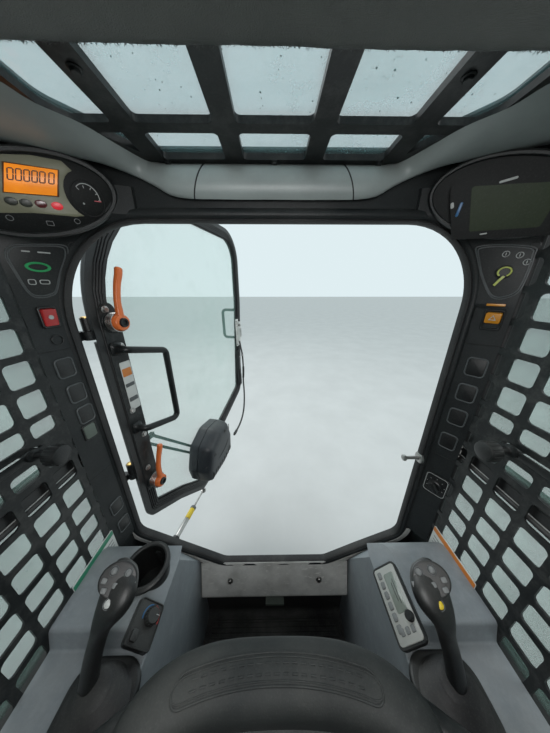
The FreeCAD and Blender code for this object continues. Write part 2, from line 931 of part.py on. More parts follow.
def stay_bracket():
    """The stay's lug on the front panel."""
    anchor, _ = stay_points()
    plate = box(anchor.x - 22, anchor.x + 22, front_y - 5, front_y, anchor.z - 50, anchor.z + 4)
    lug = box(anchor.x - 9, anchor.x + 9, anchor.y - 5, front_y, anchor.z - 30, anchor.z - 16)
    pin = cylinder((anchor.x, anchor.y, anchor.z - 30), (anchor.x, anchor.y, anchor.z + 10), 4)
    return fuse([plate, lug, pin])


def door_stay_pin():
    """The pin that hangs from the closed door's lower edge and holds the stay's rod."""
    x = door_edge_x - stay_door_t
    y = door_face_y - door_depth / 2
    return cylinder((x, y, stay_level_z + stay_eye_half + stay_pin_gap), (x, y, door_low_z + 25), 4)


def stay_tube():
    cab_eye, door_eye = stay_points()
    along = (door_eye - cab_eye).normalize()
    body = Part.makeCylinder(stay_tube_radius, 150, cab_eye + along * 16, along)
    neck = Part.makeCylinder(5, 12, cab_eye + along * 8, along)
    eye = cylinder((cab_eye.x, cab_eye.y, cab_eye.z - 7), (cab_eye.x, cab_eye.y, cab_eye.z + 7),
                   stay_eye_radius)
    hollow = Part.makeCylinder(stay_rod_radius + 0.3, 140, cab_eye + along * 30, along)
    hole = cylinder((cab_eye.x, cab_eye.y, cab_eye.z - 9), (cab_eye.x, cab_eye.y, cab_eye.z + 9), 4.3)
    return fuse([body, neck, eye]).cut(hollow).cut(hole)


def stay_rod():
    cab_eye, door_eye = stay_points()
    along = (door_eye - cab_eye).normalize()
    length = (door_eye - cab_eye).Length
    rod = Part.makeCylinder(stay_rod_radius, length - 90, cab_eye + along * 80, along)
    eye = cylinder((door_eye.x, door_eye.y, door_eye.z - stay_eye_half),
                   (door_eye.x, door_eye.y, door_eye.z + stay_eye_half), stay_eye_radius)
    hole = cylinder((door_eye.x, door_eye.y, door_eye.z - 9), (door_eye.x, door_eye.y, door_eye.z + 9), 5)
    return fuse([rod, eye]).cut(hole)


# Inside


def console(side):
    """The moulded box beside the seat, with a slanted inner shoulder and a low front corner."""
    profile = [
        (front_inner_y, base_rail, 0),
        (console_rear_y, base_rail, 0),
        (console_rear_y, console_rear_z, 20),
        (stick_foot[1] - boot_radius - 10, console_rear_z, 6),
        (stick_foot[1] - boot_radius - 22, console_top_z, 8),
        (-450, console_top_z, 40),
        (front_inner_y, console_front_z, 0),
    ]
    start = console_inner_x if side == LEFT else -inner_x
    body = slab("side", profile, start, inner_x - console_inner_x)
    shoulder = [
        (console_inner_x - 1, console_top_z - console_chamfer - 1, 0),
        (console_inner_x + console_chamfer + 1, console_top_z + 1, 0),
        (console_inner_x - 1, console_top_z + 1, 0),
    ]
    wedge = slab("front", mirrored(shoulder, side), front_y, rear_y - front_y)
    deck = box(side * console_inner_x, side * inner_x, riser_y - floor_sheet, rear_y,
               deck_z, deck_z + floor_sheet)
    body = body.cut(wedge).cut(deck).cut(console_corner(side))
    if side == LEFT:
        body = body.cut(cylinder((cup_x, cup_y, console_top_z - cup_depth - cup_wall),
                                 (cup_x, cup_y, console_top_z + 50), cup_radius + cup_wall))
    trim = pillar_prism(side, trim_low_z, trim_top_z)
    return body.cut(trim)


def console_corner(side):
    """What the slanted front corner takes off, between the opening's edge and the shoulder."""
    low = Vec(side * (console_inner_x - 2), front_inner_y - 2, console_foot_z)
    outer = Vec(side * corner_outer_x, front_inner_y - 2, console_front_z + 4)
    rear = Vec(side * (console_inner_x - 2), corner_rear_y, console_top_z - console_chamfer)
    top = Vec(side * (console_inner_x - 2), front_inner_y - 2, console_top_z)
    faces = []
    for a, b, c in ((low, outer, rear), (low, outer, top), (low, rear, top), (outer, rear, top)):
        faces.append(Part.Face(Part.makePolygon([a, b, c, a])))
    solid = Part.Solid(Part.Shell(faces))
    if solid.Volume < 0:
        solid.reverse()
    return solid


def cup_holder():
    low = console_top_z - cup_depth - cup_wall
    cup = cylinder((cup_x, cup_y, low), (cup_x, cup_y, console_top_z + 6), cup_radius + cup_wall)
    rim = cylinder((cup_x, cup_y, console_top_z), (cup_x, cup_y, console_top_z + 6), cup_radius + cup_wall + 6)
    hollow = cylinder((cup_x, cup_y, low + cup_wall), (cup_x, cup_y, console_top_z + 10), cup_radius)
    return cup.fuse(rim).cut(hollow).removeSplitter()


def shoulder_panel(side, y, width, height, depth):
    """A flat unit that lies on a console's slanted shoulder."""
    unit = box(-width / 2, width / 2, -height / 2, height / 2, 0, depth)
    upright = [e for e in unit.Edges if abs(e.tangentAt(e.FirstParameter).z) > 0.9]
    unit = unit.makeFillet(6, upright)
    unit.rotate(Vec(0, 0, 0), Vec(0, 0, 1), 90)
    unit.rotate(Vec(0, 0, 0), Vec(0, 1, 0), -45 * side)
    centre = console_chamfer / 2
    unit.translate(Vec(side * (console_inner_x + centre), y, console_top_z - centre))
    return unit


def joystick(side):
    """A boot on the console, a leaning stick and a moulded grip."""
    foot = Vec(side * stick_foot[0], stick_foot[1], console_rear_z)
    head = Vec(side * stick_head[0], stick_head[1], stick_head[2])
    along = (head - foot).normalize()
    boot = Part.makeCone(boot_radius, 20, boot_height, foot)
    stick = Part.makeCylinder(stick_radius, (head - foot).Length - 20, foot + along * 20, along)
    grip = box(-grip_width / 2, grip_width / 2, -grip_depth / 2, grip_depth / 2, -grip_height / 2,
               grip_height / 2)
    grip = grip.makeFillet(16, grip.Edges)
    grip.Placement = FreeCAD.Placement(head, FreeCAD.Rotation(Vec(0, 0, 1), along))
    return fuse([boot, stick, grip])


def gauge_pod(side):
    """An oval instrument pod in the upper corner, turned to face the operator."""
    ring = Part.Wire(Part.Ellipse(Vec(0, 0, 0), pod_half_width, pod_half_height).toShape())
    body = Part.Face(ring).extrude(Vec(0, 0, -pod_depth))
    body.rotate(Vec(0, 0, 0), Vec(0, 0, 1), side * pod_roll)
    body.rotate(Vec(0, 0, 0), Vec(1, 0, 0), 90)
    body.rotate(Vec(0, 0, 0), Vec(1, 0, 0), 180)
    body.rotate(Vec(0, 0, 0), Vec(1, 0, 0), pod_tilt)
    body.rotate(Vec(0, 0, 0), Vec(0, 0, 1), side * pod_yaw)
    body.translate(Vec(side * pod_centre[0], pod_centre[1], pod_centre[2]))
    room = box(-inner_x, inner_x, front_inner_y, 0, opening_top_z - 200, roof_under_z - roof_grid_depth)
    return body.common(room)


def pillar_prism(side, low, high):
    edge = opening_hinge_half if side == LEFT else opening_half
    step = (inner_x - edge) * panel_sheet / post_width
    rear = front_y + (trim_hinge_width if side == LEFT else post_width)
    corners = [
        (inner_x, rear, 0),
        (inner_x, front_inner_y, 0),
        (edge + step, front_inner_y, 0),
    ]
    return slab("plan", mirrored(corners, side), low, high - low)


def pillar_trim(side):
    """The slanted cover of the front post, facing the operator."""
    trim = pillar_prism(side, trim_low_z, trim_top_z)
    return trim.cut(gauge_pod(side))


def striker_pin():
    """The pin on the right jamb that the door's latch closes on."""
    y = front_y + panel_sheet / 2
    tip = -opening_half + striker_length
    pin = cylinder((-opening_half, y, striker_z), (tip, y, striker_z), 4)
    head = cylinder((tip - 4, y, striker_z), (tip, y, striker_z), 7)
    return fuse([pin, head])


def window_latch(side):
    """The side window's latch: a rod behind the grille's slot and a round knob inside."""
    y = slot_start_y + 16
    z = grille_bar_z
    near, far = side * (inner_x - 34), side * (inner_x + window_offset + window_depth / 2)
    stem = cylinder((near, y, z), (far, y, z), 6)
    knob = cylinder((near, y, z), (near - side * 22, y, z), 17)
    return fuse([stem, knob])


def seat_base():
    low = deck_z + floor_sheet
    parts = [box(-seat_foot_half, seat_foot_half, -150, 250, low, low + 22),
             box(-seat_column_half, seat_column_half, -130, 230, low + 22, cushion_low_z - 20),
             box(-seat_pan_half, seat_pan_half, -200, 260, cushion_low_z - 20, cushion_low_z)]
    return fuse(parts)


def seat_cushion():
    low = cushion_low_z
    body = box(-seat_half, seat_half, cushion_front_y, cushion_rear_y, low, cushion_high_z)
    return body.makeFillet(28, [e for e in body.Edges if e.CenterOfMass.z > low + 5])


def seat_back():
    """The back rest, leaning rearwards from the cushion."""
    low = cushion_low_z
    corners = [
        (cushion_rear_y + 1, low, 0),
        (cushion_rear_y + back_depth, low, 0),
        (cushion_rear_y + back_depth + back_lean, back_high_z, 30),
        (cushion_rear_y + back_lean + 20, back_high_z, 30),
        (cushion_rear_y + 1, cushion_high_z + 40, 40),
    ]
    body = slab("side", corners, -seat_half + 12, 2 * seat_half - 24)
    return body


def seat_belt():
    """The belt's two stalks beside the seat, with the buckle on the left one."""
    parts = []
    for _, side in SIDES:
        x = side * (seat_half + 5)
        parts.append(box(x, x + side * 5, 120, 165, deck_z + floor_sheet, cushion_high_z + 40))
    left = seat_half + 2
    parts[0] = parts[0].fuse(box(left, left + 13, 112, 173, cushion_high_z + 20, cushion_high_z + 90))
    return compound(parts)


def lap_bar_pivots():
    """A plate on each side with the pin that an arm's boss turns on."""
    pivots = []
    for _, side in SIDES:
        plate = box(side * inner_x, side * (inner_x - lap_plate), lap_pivot_y - 45, lap_pivot_y + 45,
                    lap_pivot_z - 45, lap_pivot_z + 45)
        pin = cylinder((side * (inner_x - lap_plate), lap_pivot_y, lap_pivot_z),
                       (side * (inner_x - lap_plate - lap_boss_length - 4), lap_pivot_y, lap_pivot_z),
                       lap_pin_radius)
        pivots.append(fuse([plate, pin]))
    return compound(pivots)


def lap_bar_arms():
    """Both arms with their bored pivot bosses beside the side frames."""
    arms = []
    for _, side in SIDES:
        points = [
            (side * 160, -196, lap_pad_z),
            (side * 236, -150, lap_pad_z),
            (side * 300, 40, lap_pad_z + 30),
            (side * (inner_x - lap_plate - lap_boss_length), lap_pivot_y - 6, lap_pivot_z - 12),
        ]
        arm = tube(points, lap_tube_radius, 60)
        outer = side * (inner_x - lap_plate - 0.5)
        inner = outer - side * lap_boss_length
        boss = cylinder((outer, lap_pivot_y, lap_pivot_z), (inner, lap_pivot_y, lap_pivot_z), lap_boss_radius)
        bore = cylinder((outer + side, lap_pivot_y, lap_pivot_z),
                        (inner - side * 6, lap_pivot_y, lap_pivot_z),
                        lap_pin_radius + lap_pin_clearance)
        arms.append(fuse([arm, boss]).cut(bore))
    return compound(arms)


def lap_bar_pad():
    """The padded cross piece: a crescent in plan that rests over the operator's lap."""
    corners = both_sides([
        (60, -248, 60),
        (142, -232, 50),
        (188, -184, 16),
        (168, -146, 16),
        (90, -182, 60),
    ])
    body = slab("plan", corners, lap_pad_z - lap_pad_depth / 2, lap_pad_depth)
    body = body.makeFillet(14, [e for e in body.Edges if abs(e.tangentAt(e.FirstParameter).z) < 0.5])
    return body.cut(lap_bar_arms())


def work_lamps():
    """A pair of lamps on the roof's front edge."""
    lamps = []
    for _, side in SIDES:
        foot = box(side * 400, side * 430, -500, -470, roof_z, roof_z + 12)
        case = box(side * 370, side * 460, -515, -455, roof_z + 12, roof_z + 72)
        case = case.makeFillet(8, case.Edges)
        lamps.append(fuse([foot, case]))
    return compound(lamps)


def main():
    os.makedirs("parts", exist_ok=True)
    nodes = {
        "base_frame": base_frame(),
        "pivot_lugs": pivot_lugs(),
        "front_panel": front_panel(),
        "door_seal": door_seal(),
        "front_sill": front_sill(),
        "foot_well": foot_well(),
        "seat_deck": seat_deck(),
        "rear_wall": rear_wall(),
        "rear_window_frame": rear_window_frame(),
        "rear_glass": rear_glass(),
        "roof_panel": roof_panel(),
        "roof_grid": roof_grid(),
        "roof_glass": roof_glass(),
        "headliner": headliner(),
        "header_moulding": header_moulding(),
        "door_brackets": compound(hinge_brackets() + [stay_bracket()]),
        "striker_pin": striker_pin(),
        "side_panels": side_panels(),
        "side_window_frames": compound([side_window_frame(side) for _, side in SIDES]),
        "side_glass": compound([side_glass(side) for _, side in SIDES]),
        "window_latches": compound([window_latch(side) for _, side in SIDES]),
        "cup_holder": cup_holder(),
        "climate_panel": shoulder_panel(LEFT, -320, 66, 54, 12),
        "radio": shoulder_panel(RIGHT, -345, 120, 54, 14),
        "seat_base": seat_base(),
        "seat_cushion": seat_cushion(),
        "seat_back": seat_back(),
        "seat_belt": seat_belt(),
        "work_lamps": work_lamps(),
        "lap_bar_pivots": lap_bar_pivots(),
        "lap_bar_arms": lap_bar_arms(),
        "lap_bar_pad": lap_bar_pad(),
        "door_frame": door_frame(),
        "door_glass": door_glass(),
        "door_side_plate": door_side_plate(),
        "door_levers": door_levers(),
        "door_grab_handle": door_grab_handle(),
        "door_latch": door_latch(),
        "door_lock_bar": door_lock_bar(),
        "door_outer_handle": door_outer_handle(),
        "door_cable": door_cable(),
        "wiper_motor_cover": wiper_motor_cover(),
        "wiper_spindles": wiper_spindles(),
        "wiper_arm": swung(wiper_link(0)),
        "wiper_link": swung(wiper_link(1)),
        "wiper_blade": wiper_blade(),
        "stay_tube": stay_tube(),
        "stay_rod": stay_rod(),
    }
    for name, side in SIDES:
        nodes["side_frame_" + name] = side_frame(side)
        nodes["side_grille_" + name] = side_grille(side)
        nodes["console_" + name] = console(side)
        nodes["joystick_" + name] = joystick(side)
        nodes["gauge_pod_" + name] = gauge_pod(side)
        nodes["pillar_trim_" + name] = pillar_trim(side)
    for node, shape in nodes.items():
        if not shape.isValid():
            raise ValueError(node + " is not a valid shape")
        shape.exportStep("parts/" + node + ".step")


main()
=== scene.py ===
# Looks of a skid steer loader's operator cab: finishes, linings, instruments, controls and soft parts.
# Metres. +Z is up, the machine's front faces -Y and the operator's left hand is at +X.
import json
import math
import random
import bmesh
import bpy
from mathutils import Matrix, Vector, noise
from mathutils.bvhtree import BVHTree


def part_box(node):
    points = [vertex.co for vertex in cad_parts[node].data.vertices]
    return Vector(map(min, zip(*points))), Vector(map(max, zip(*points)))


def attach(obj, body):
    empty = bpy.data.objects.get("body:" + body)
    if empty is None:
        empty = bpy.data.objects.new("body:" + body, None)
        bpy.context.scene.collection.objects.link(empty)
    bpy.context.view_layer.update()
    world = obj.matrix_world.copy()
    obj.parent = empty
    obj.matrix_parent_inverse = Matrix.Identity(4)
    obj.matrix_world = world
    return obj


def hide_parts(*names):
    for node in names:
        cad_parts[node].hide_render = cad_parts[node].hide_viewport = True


bl_info = {
    "name": "Loader Cab Looks",
    "version": (1, 0, 0),
    "blender": (4, 5, 0),
    "location": "3D View > Sidebar > Loader Cab",
    "description": "Finishes, linings, instruments and soft parts of a skid steer loader's cab",
    "category": "Object",
}

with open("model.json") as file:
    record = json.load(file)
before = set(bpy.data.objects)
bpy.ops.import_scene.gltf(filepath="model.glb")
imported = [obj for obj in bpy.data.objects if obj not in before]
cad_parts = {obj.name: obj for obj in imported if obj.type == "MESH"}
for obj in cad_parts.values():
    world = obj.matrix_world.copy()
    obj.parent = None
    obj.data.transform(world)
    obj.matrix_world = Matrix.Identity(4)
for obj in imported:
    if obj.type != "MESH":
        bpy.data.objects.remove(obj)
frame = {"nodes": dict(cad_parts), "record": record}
NODES = frame["nodes"]
LEFT, RIGHT = 1, -1
SIDES = ((LEFT, "left"), (RIGHT, "right"))
DOOR_ANGLE = math.radians(75.5)
DOOR_HINGE_EDGE = Vector((0.446, -0.564, 0.0))
DOOR_PIVOT = Vector((0.428, -0.5875, 0.0))
FRONT_FACE_Y = -0.538
INNER_X = 0.440
OPENING_TOP = 1.3375
OPENING_CORNERS = [(0.170, 0.351, 0.040), (0.276, 0.418, 0.060), (0.425, 0.510, 0.040),
                   (0.425, OPENING_TOP, 0.190), (-0.397, OPENING_TOP, 0.150), (-0.397, 0.490, 0.040),
                   (-0.276, 0.418, 0.060), (-0.170, 0.351, 0.040)]
DOOR_CORNERS = [(0.012, 0.522, 0.045), (0.150, 0.433, 0.060), (0.290, 0.320, 0.060), (0.440, 0.320, 0.060),
                (0.520, 0.515, 0.070), (0.795, 0.620, 0.070), (0.854, 1.150, 0.400), (0.854, 1.495, 0.140),
                (0.012, 1.495, 0.340)]
POD_CENTRE = (0.350, -0.480, 1.350)
POD_YAW, POD_TILT = math.radians(33), math.radians(14)


# Settings


def size(name, description, default, low=0.0, high=2.0):
    return bpy.props.FloatProperty(name=name, description=description, default=default,
                                   min=low, max=high, unit="LENGTH")


def tint(name, description, default):
    return bpy.props.FloatVectorProperty(name=name, description=description, default=default,
                                         size=3, min=0.0, max=1.0, subtype="COLOR")


def share(name, description, default):
    return bpy.props.FloatProperty(name=name, description=description, default=default,
                                   min=0.0, max=1.0, subtype="FACTOR")


class CabFinishSettings(bpy.types.PropertyGroup):
    shell: tint("Shell paint", "Colour of the frame and the outer sheets", (0.014, 0.017, 0.018))
    grille: tint("Grille paint", "Colour of the grilles, bars and arms", (0.0085, 0.0105, 0.0110))
    dark_moulding: tint("Dark mouldings", "Colour of the pillars and the front panel",
                        (0.0105, 0.0130, 0.0140))
    grey_moulding: tint("Grey mouldings", "Colour of the consoles", (0.215, 0.240, 0.258))
    header: tint("Header", "Colour of the moulding over the door opening", (0.300, 0.340, 0.332))
    lever: tint("Release levers", "Colour of the door's release levers", (0.720, 0.160, 0.035))
    glass: tint("Window tint", "Colour of the side and door glass", (0.420, 0.680, 0.600))
    dust: share("Dust", "How much dust lies on the finishes", 0.22)
    wear: share("Wear", "How far the edges are worn", 0.16)


class CabDetailSettings(bpy.types.PropertyGroup):
    plate_width: size("Blank plate", "Width of the blank switch plates on the pillars", 0.034, high=0.06)
    screw_radius: size("Screw head", "Radius of a cover screw's head", 0.006, high=0.02)
    seal_width: size("Door seal lip", "Width of the ridged seal inside the door's band", 0.009, high=0.02)
    pad_crown: size("Pad crown", "How far the lap pad's top swells", 0.009, high=0.03)
    cushion_crown: size("Cushion crown", "How far the seat's cushions may swell", 0.022, high=0.05)
    fibre_length: size("Felt fibre", "Length of the loose fibres at the lining's edge", 0.0028, high=0.02)


class CabStageSettings(bpy.types.PropertyGroup):
    floor_size: size("Floor", "Half width of the floor sheet", 40.0, high=100.0)
    floor_tone: tint("Floor tone", "Colour of the floor sheet", (0.62, 0.62, 0.61))
    sky: tint("Surroundings", "Colour of the even light around the cab", (0.78, 0.90, 0.93))


# Places


def face_place(origin, normal, up=(0, 0, 1)):
    """A frame on a surface: x to the viewer's right, y up, z towards the viewer."""
    n = Vector(normal).normalized()
    right = Vector(up).cross(n).normalized()
    top = n.cross(right)
    return Matrix.Translation(Vector(origin)) @ Matrix((right, top, n)).transposed().to_4x4()


def door_place():
    """The open door's frame: x back towards the hinge, y off its inner face, z up."""
    swing = (Matrix.Translation(DOOR_PIVOT) @ Matrix.Rotation(DOOR_ANGLE, 4, "Z")
             @ Matrix.Translation(-DOOR_PIVOT))
    return swing @ Matrix.Translation(DOOR_HINGE_EDGE)


def door_face(t, off, z):
    """A frame on the door's inner face, at a distance from the hinge edge."""
    place = door_place()
    origin = place @ Vector((-t, off, z))
    return face_place(origin, place.to_3x3() @ Vector((0, 1, 0)))


def pod_place(side):
    normal = (-side * math.sin(POD_YAW) * math.cos(POD_TILT), math.cos(POD_YAW) * math.cos(POD_TILT),
              -math.sin(POD_TILT))
    return face_place((side * POD_CENTRE[0], POD_CENTRE[1], POD_CENTRE[2]), normal)


def pillar_place(side):
    """On a pillar cover: x to the viewer's right, y is the height above the base."""
    if side == LEFT:
        return face_place((0.440, -0.478, 0), (-0.98058, 0.19612, 0))
    return face_place((-0.440, -0.490, 0), (0.8128, 0.5825, 0))


def door_point(t, off, z):
    """A place on the open door, from its hinge edge, off its inner face and above the base."""
    return door_place() @ Vector((-t, off, z))


def door_normal():
    return door_place().to_3x3() @ Vector((0, 1, 0))


# Meshes


def add_object(name, bm, material, body, smooth=40):
    mesh = bpy.data.meshes.new(name)
    bmesh.ops.recalc_face_normals(bm, faces=bm.faces[:])
    bm.to_mesh(mesh)
    bm.free()
    piece = bpy.data.objects.new(name, mesh)
    bpy.context.scene.collection.objects.link(piece)
    mesh.materials.append(finish(material))
    for face in mesh.polygons:
        face.use_smooth = True
    mesh.set_sharp_from_angle(angle=math.radians(smooth))
    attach(piece, body)
    return piece


def ring_points(width, height, radius, steps=6):
    """A rounded rectangle about the origin, anticlockwise."""
    points = []
    for cx, cy, start in ((1, 1, 0), (-1, 1, 90), (-1, -1, 180), (1, -1, 270)):
        for i in range(steps + 1):
            a = math.radians(start + 90 * i / steps)
            points.append((cx * (width / 2 - radius) + radius * math.cos(a),
                           cy * (height / 2 - radius) + radius * math.sin(a)))
    return points


def oval_points(half_width, half_height, steps=48):
    return [(half_width * math.cos(2 * math.pi * i / steps), half_height * math.sin(2 * math.pi * i / steps))
            for i in range(steps)]


def shift(points, x, y):
    return [(u + x, v + y) for u, v in points]


def add_layers(bm, place, layers, cap_first=True, cap_last=True):
    """Joins outlines of equal length, each a list of (x, y) with a height, into one skin."""
    loops = []
    for points, height in layers:
        loops.append([bm.verts.new(place @ Vector((x, y, height))) for x, y in points])
    for low, high in zip(loops, loops[1:]):
        count = len(low)
        for i in range(count):
            j = (i + 1) % count
            bm.faces.new((low[i], low[j], high[j], high[i]))
    if cap_first:
        bm.faces.new(loops[0][::-1])
    if cap_last:
        bm.faces.new(loops[-1])
    return loops


def grown(points, amount):
    """An outline moved outwards by an amount along its corner normals."""
    out = []
    count = len(points)
    for i, (x, y) in enumerate(points):
        ax, ay = points[i - 1]
        bx, by = points[(i + 1) % count]
        tx, ty = bx - ax, by - ay
        length = math.hypot(tx, ty) or 1.0
        out.append((x + amount * ty / length, y - amount * tx / length))
    return out


def add_button(bm, place, points, low, high, bevel=0.0012):
    """A raised plate with a softened upper edge."""
    add_layers(bm, place,
               [(points, low), (points, high - bevel), (grown(points, -bevel * 0.3), high - bevel * 0.3),
                           (grown(points, -bevel), high)])


def add_frame_ring(bm, place, outer, inner, low, high, bevel=0.001):
    """A raised rim between two outlines of equal length."""
    layers = [(outer, low), (outer, high - bevel), (grown(outer, -bevel), high),
              (grown(inner, bevel), high), (inner, high - bevel), (inner, low)]
    add_layers(bm, place, layers, cap_first=False, cap_last=False)


def add_lathe(bm, place, profile, steps=32):
    """A turned shape: (radius, height) pairs about the place's z axis."""
    loops = []
    for radius, height in profile:
        if radius < 1e-6:
            loops.append([bm.verts.new(place @ Vector((0, 0, height)))])
            continue
        loops.append([bm.verts.new(place @ Vector((radius * math.cos(2 * math.pi * i / steps),
                                                   radius * math.sin(2 * math.pi * i / steps), height)))
                      for i in range(steps)])
    for low, high in zip(loops, loops[1:]):
        for i in range(steps):
            j = (i + 1) % steps
            if len(low) == 1 and len(high) == 1:
                continue
            if len(low) == 1:
                bm.faces.new((low[0], high[j], high[i]))
            elif len(high) == 1:
                bm.faces.new((low[i], low[j], high[0]))
            else:
                bm.faces.new((low[i], low[j], high[j], high[i]))


def smooth_path(points, per_span=6, closed=False):
    """Points along a smooth line through the given ones."""
    pts = [Vector(p) for p in points]
    count = len(pts)
    out = []
    spans = count if closed else count - 1
    for i in range(spans):
        p0 = pts[(i - 1) % count] if closed or i > 0 else pts[0] * 2 - pts[1]
        p1, p2 = pts[i], pts[(i + 1) % count]
        p3 = pts[(i + 2) % count] if closed or i + 2 < count else pts[-1] * 2 - pts[-2]
        for k in range(per_span):
            f = k / per_span
            out.append(0.5 * ((2 * p1) + (p2 - p0) * f + (2 * p0 - 5 * p1 + 4 * p2 - p3) * f * f
                              + (3 * p1 - p0 - 3 * p2 + p3) * f ** 3))
    if not closed:
        out.append(pts[-1].copy())
    return out


def add_sweep(bm, path, section, up=(0, 0, 1), closed=False, caps=True, scale=None):
    """Carries a section of (side, up) points along a path of 3-D points."""
    path = [Vector(p) for p in path]
    count = len(path)
    loops = []
    for i, point in enumerate(path):
        before = path[i - 1] if closed or i > 0 else path[i]
        after = path[(i + 1) % count] if closed or i + 1 < count else path[i]
        along = (after - before).normalized()
        side = along.cross(Vector(up)).normalized()
        top = side.cross(along).normalized()
        k = scale[i] if scale else 1.0
        loops.append([bm.verts.new(point + side * (s * k) + top * (t * k)) for s, t in section])
    pairs = list(zip(loops, loops[1:])) + ([(loops[-1], loops[0])] if closed else [])
    width = len(section)
    for low, high in pairs:
        for i in range(width):
            j = (i + 1) % width
            bm.faces.new((low[i], low[j], high[j], high[i]))
    if caps and not closed:
        bm.faces.new(loops[0][::-1])
        bm.faces.new(loops[-1])


def round_section(radius, steps=12):
    return [(radius * math.cos(2 * math.pi * i / steps), radius * math.sin(2 * math.pi * i / steps))
            for i in range(steps)]


def rounded_loop(corners, inset=0.0, steps=10, between=0):
    """A closed outline through (u, v, radius) corners, moved inwards and rounded."""
    count = len(corners)
    area = sum(corners[i - 1][0] * corners[i][1] - corners[i][0] * corners[i - 1][1] for i in range(count))
    turning = 1 if area > 0 else -1
    points = []
    for i, (u, v, radius) in enumerate(corners):
        here = Vector((u, v))
        back = (Vector(corners[i - 1][:2]) - here).normalized()
        ahead = (Vector(corners[(i + 1) % count][:2]) - here).normalized()
        half = back.angle(ahead) / 2
        convex = (back.x * ahead.y - back.y * ahead.x) * turning < 0
        way = (back + ahead).normalized()
        moved = here + way * (inset if convex else -inset) / math.sin(half)
        reach = max(0.0005, radius - inset if convex else radius + inset)
        centre = moved + way * (reach / math.sin(half))
        a = moved + back * (reach / math.tan(half)) - centre
        b = moved + ahead * (reach / math.tan(half)) - centre
        sweep = math.atan2(a.x * b.y - a.y * b.x, a.dot(b))
        for k in range(steps + 1):
            angle = sweep * k / steps
            points.append((centre.x + a.x * math.cos(angle) - a.y * math.sin(angle),
                           centre.y + a.x * math.sin(angle) + a.y * math.cos(angle)))
    if between:
        points = filled(points, between)
    return points


def filled(points, parts):
    """Adds points along an outline's longer runs."""
    out = []
    for i, (x, y) in enumerate(points):
        u, v = points[(i + 1) % len(points)]
        out.append((x, y))
        if math.hypot(u - x, v - y) > 0.02:
            out += [(x + (u - x) * k / parts, y + (v - y) * k / parts) for k in range(1, parts)]
    return out


def rounded(corners, radius):
    return rounded_loop([(x, y, radius) for x, y in corners], 0.0, 6)


def turned(points, angle):
    c, s = math.cos(angle), math.sin(angle)
    return [(x * c - y * s, x * s + y * c) for x, y in points]


def grown_polygon(corners, amount):
    """A polygon with few corners, moved outwards by an amount."""
    middle = (sum(x for x, _ in corners) / len(corners), sum(y for _, y in corners) / len(corners))
    out = []
    for x, y in corners:
        way = Vector((x - middle[0], y - middle[1]))
        out.append(tuple(Vector((x, y)) + way.normalized() * amount * 1.3))
    return out


def opening_path(inset=0.0, steps=14):
    """The door opening's outline in x and z, with its round corners, as the panel has it."""
    return rounded_loop(OPENING_CORNERS, inset, steps)


def add_loft(bm, rows, closed=False, caps=True):
    """Joins rows of points, each of the same length, into one skin; closed rows are rings."""
    made = [[bm.verts.new(point) for point in row] for row in rows]
    for low, high in zip(made, made[1:]):
        for i in range(len(low) if closed else len(low) - 1):
            j = (i + 1) % len(low)
            bm.faces.new((low[i], low[j], high[j], high[i]))
    if closed and caps:
        bm.faces.new(made[0][::-1])
        bm.faces.new(made[-1])


def add_bolt(bm, place, radius):
    """A hexagon head on a round flange."""
    hexagon = [(radius * math.cos(math.pi * k / 3), radius * math.sin(math.pi * k / 3)) for k in range(6)]
    add_lathe(bm, place,
              [(radius * 1.35, -0.0005), (radius * 1.32, 0.0010), (radius * 1.1, 0.0016), (0, 0.0016)], 24)
    add_layers(bm, place,
               [(hexagon, 0.001), (hexagon, radius * 0.75), (grown(hexagon, -radius * 0.12), radius * 0.85)])


def sweep_opening(bm, edge, section):
    """Carries a section of (outwards, towards the operator) points round the door opening."""
    count = len(edge)
    loops = []
    for i, point in enumerate(edge):
        along = (edge[(i + 1) % count] - edge[i - 1]).normalized()
        out = Vector((along.z, 0, -along.x))
        if out.dot(point - Vector((0, FRONT_FACE_Y, 0.85))) < 0:
            out = -out
        loops.append([bm.verts.new(point + out * s + Vector((0, t, 0))) for s, t in section])
    for i in range(count):
        a, b = loops[i], loops[(i + 1) % count]
        for k in range(len(section)):
            j = (k + 1) % len(section)
            bm.faces.new((a[k], a[j], b[j], b[k]))


# Shader node groups


def group(name, inputs, outputs):
    tree = bpy.data.node_groups.new(name, "ShaderNodeTree")
    for label, kind, default in inputs:
        socket = tree.interface.new_socket(label, in_out="INPUT", socket_type=kind)
        socket.default_value = default
    for label, kind in outputs:
        tree.interface.new_socket(label, in_out="OUTPUT", socket_type=kind)
    tree.nodes.new("NodeGroupInput").name = "in"
    tree.nodes.new("NodeGroupOutput").name = "out"
    return tree


def node(tree, kind, settings=None, **values):
    made = tree.nodes.new(kind)
    for key, value in (settings or {}).items():
        setattr(made, key, value)
    for key, value in values.items():
        made.inputs[key.replace("_", " ")].default_value = value
    return made


def link(tree, source, output, target, socket):
    tree.links.new(source.outputs[output], target.inputs[socket])


def ramp(tree, source, output, low, high, to_low=0.0, to_high=1.0):
    made = tree.nodes.new("ShaderNodeMapRange")
    made.inputs["From Min"].default_value = low
    made.inputs["From Max"].default_value = high
    made.inputs["To Min"].default_value = to_low
    made.inputs["To Max"].default_value = to_high
    made.clamp = True
    link(tree, source, output, made, "Value")
    return made


def math_node(tree, operation, first, second):
    made = tree.nodes.new("ShaderNodeMath")
    made.operation = operation
    for i, value in enumerate((first, second)):
        if isinstance(value, (int, float)):
            made.inputs[i].default_value = value
        else:
            tree.links.new(value, made.inputs[i])
    return made.outputs[0]


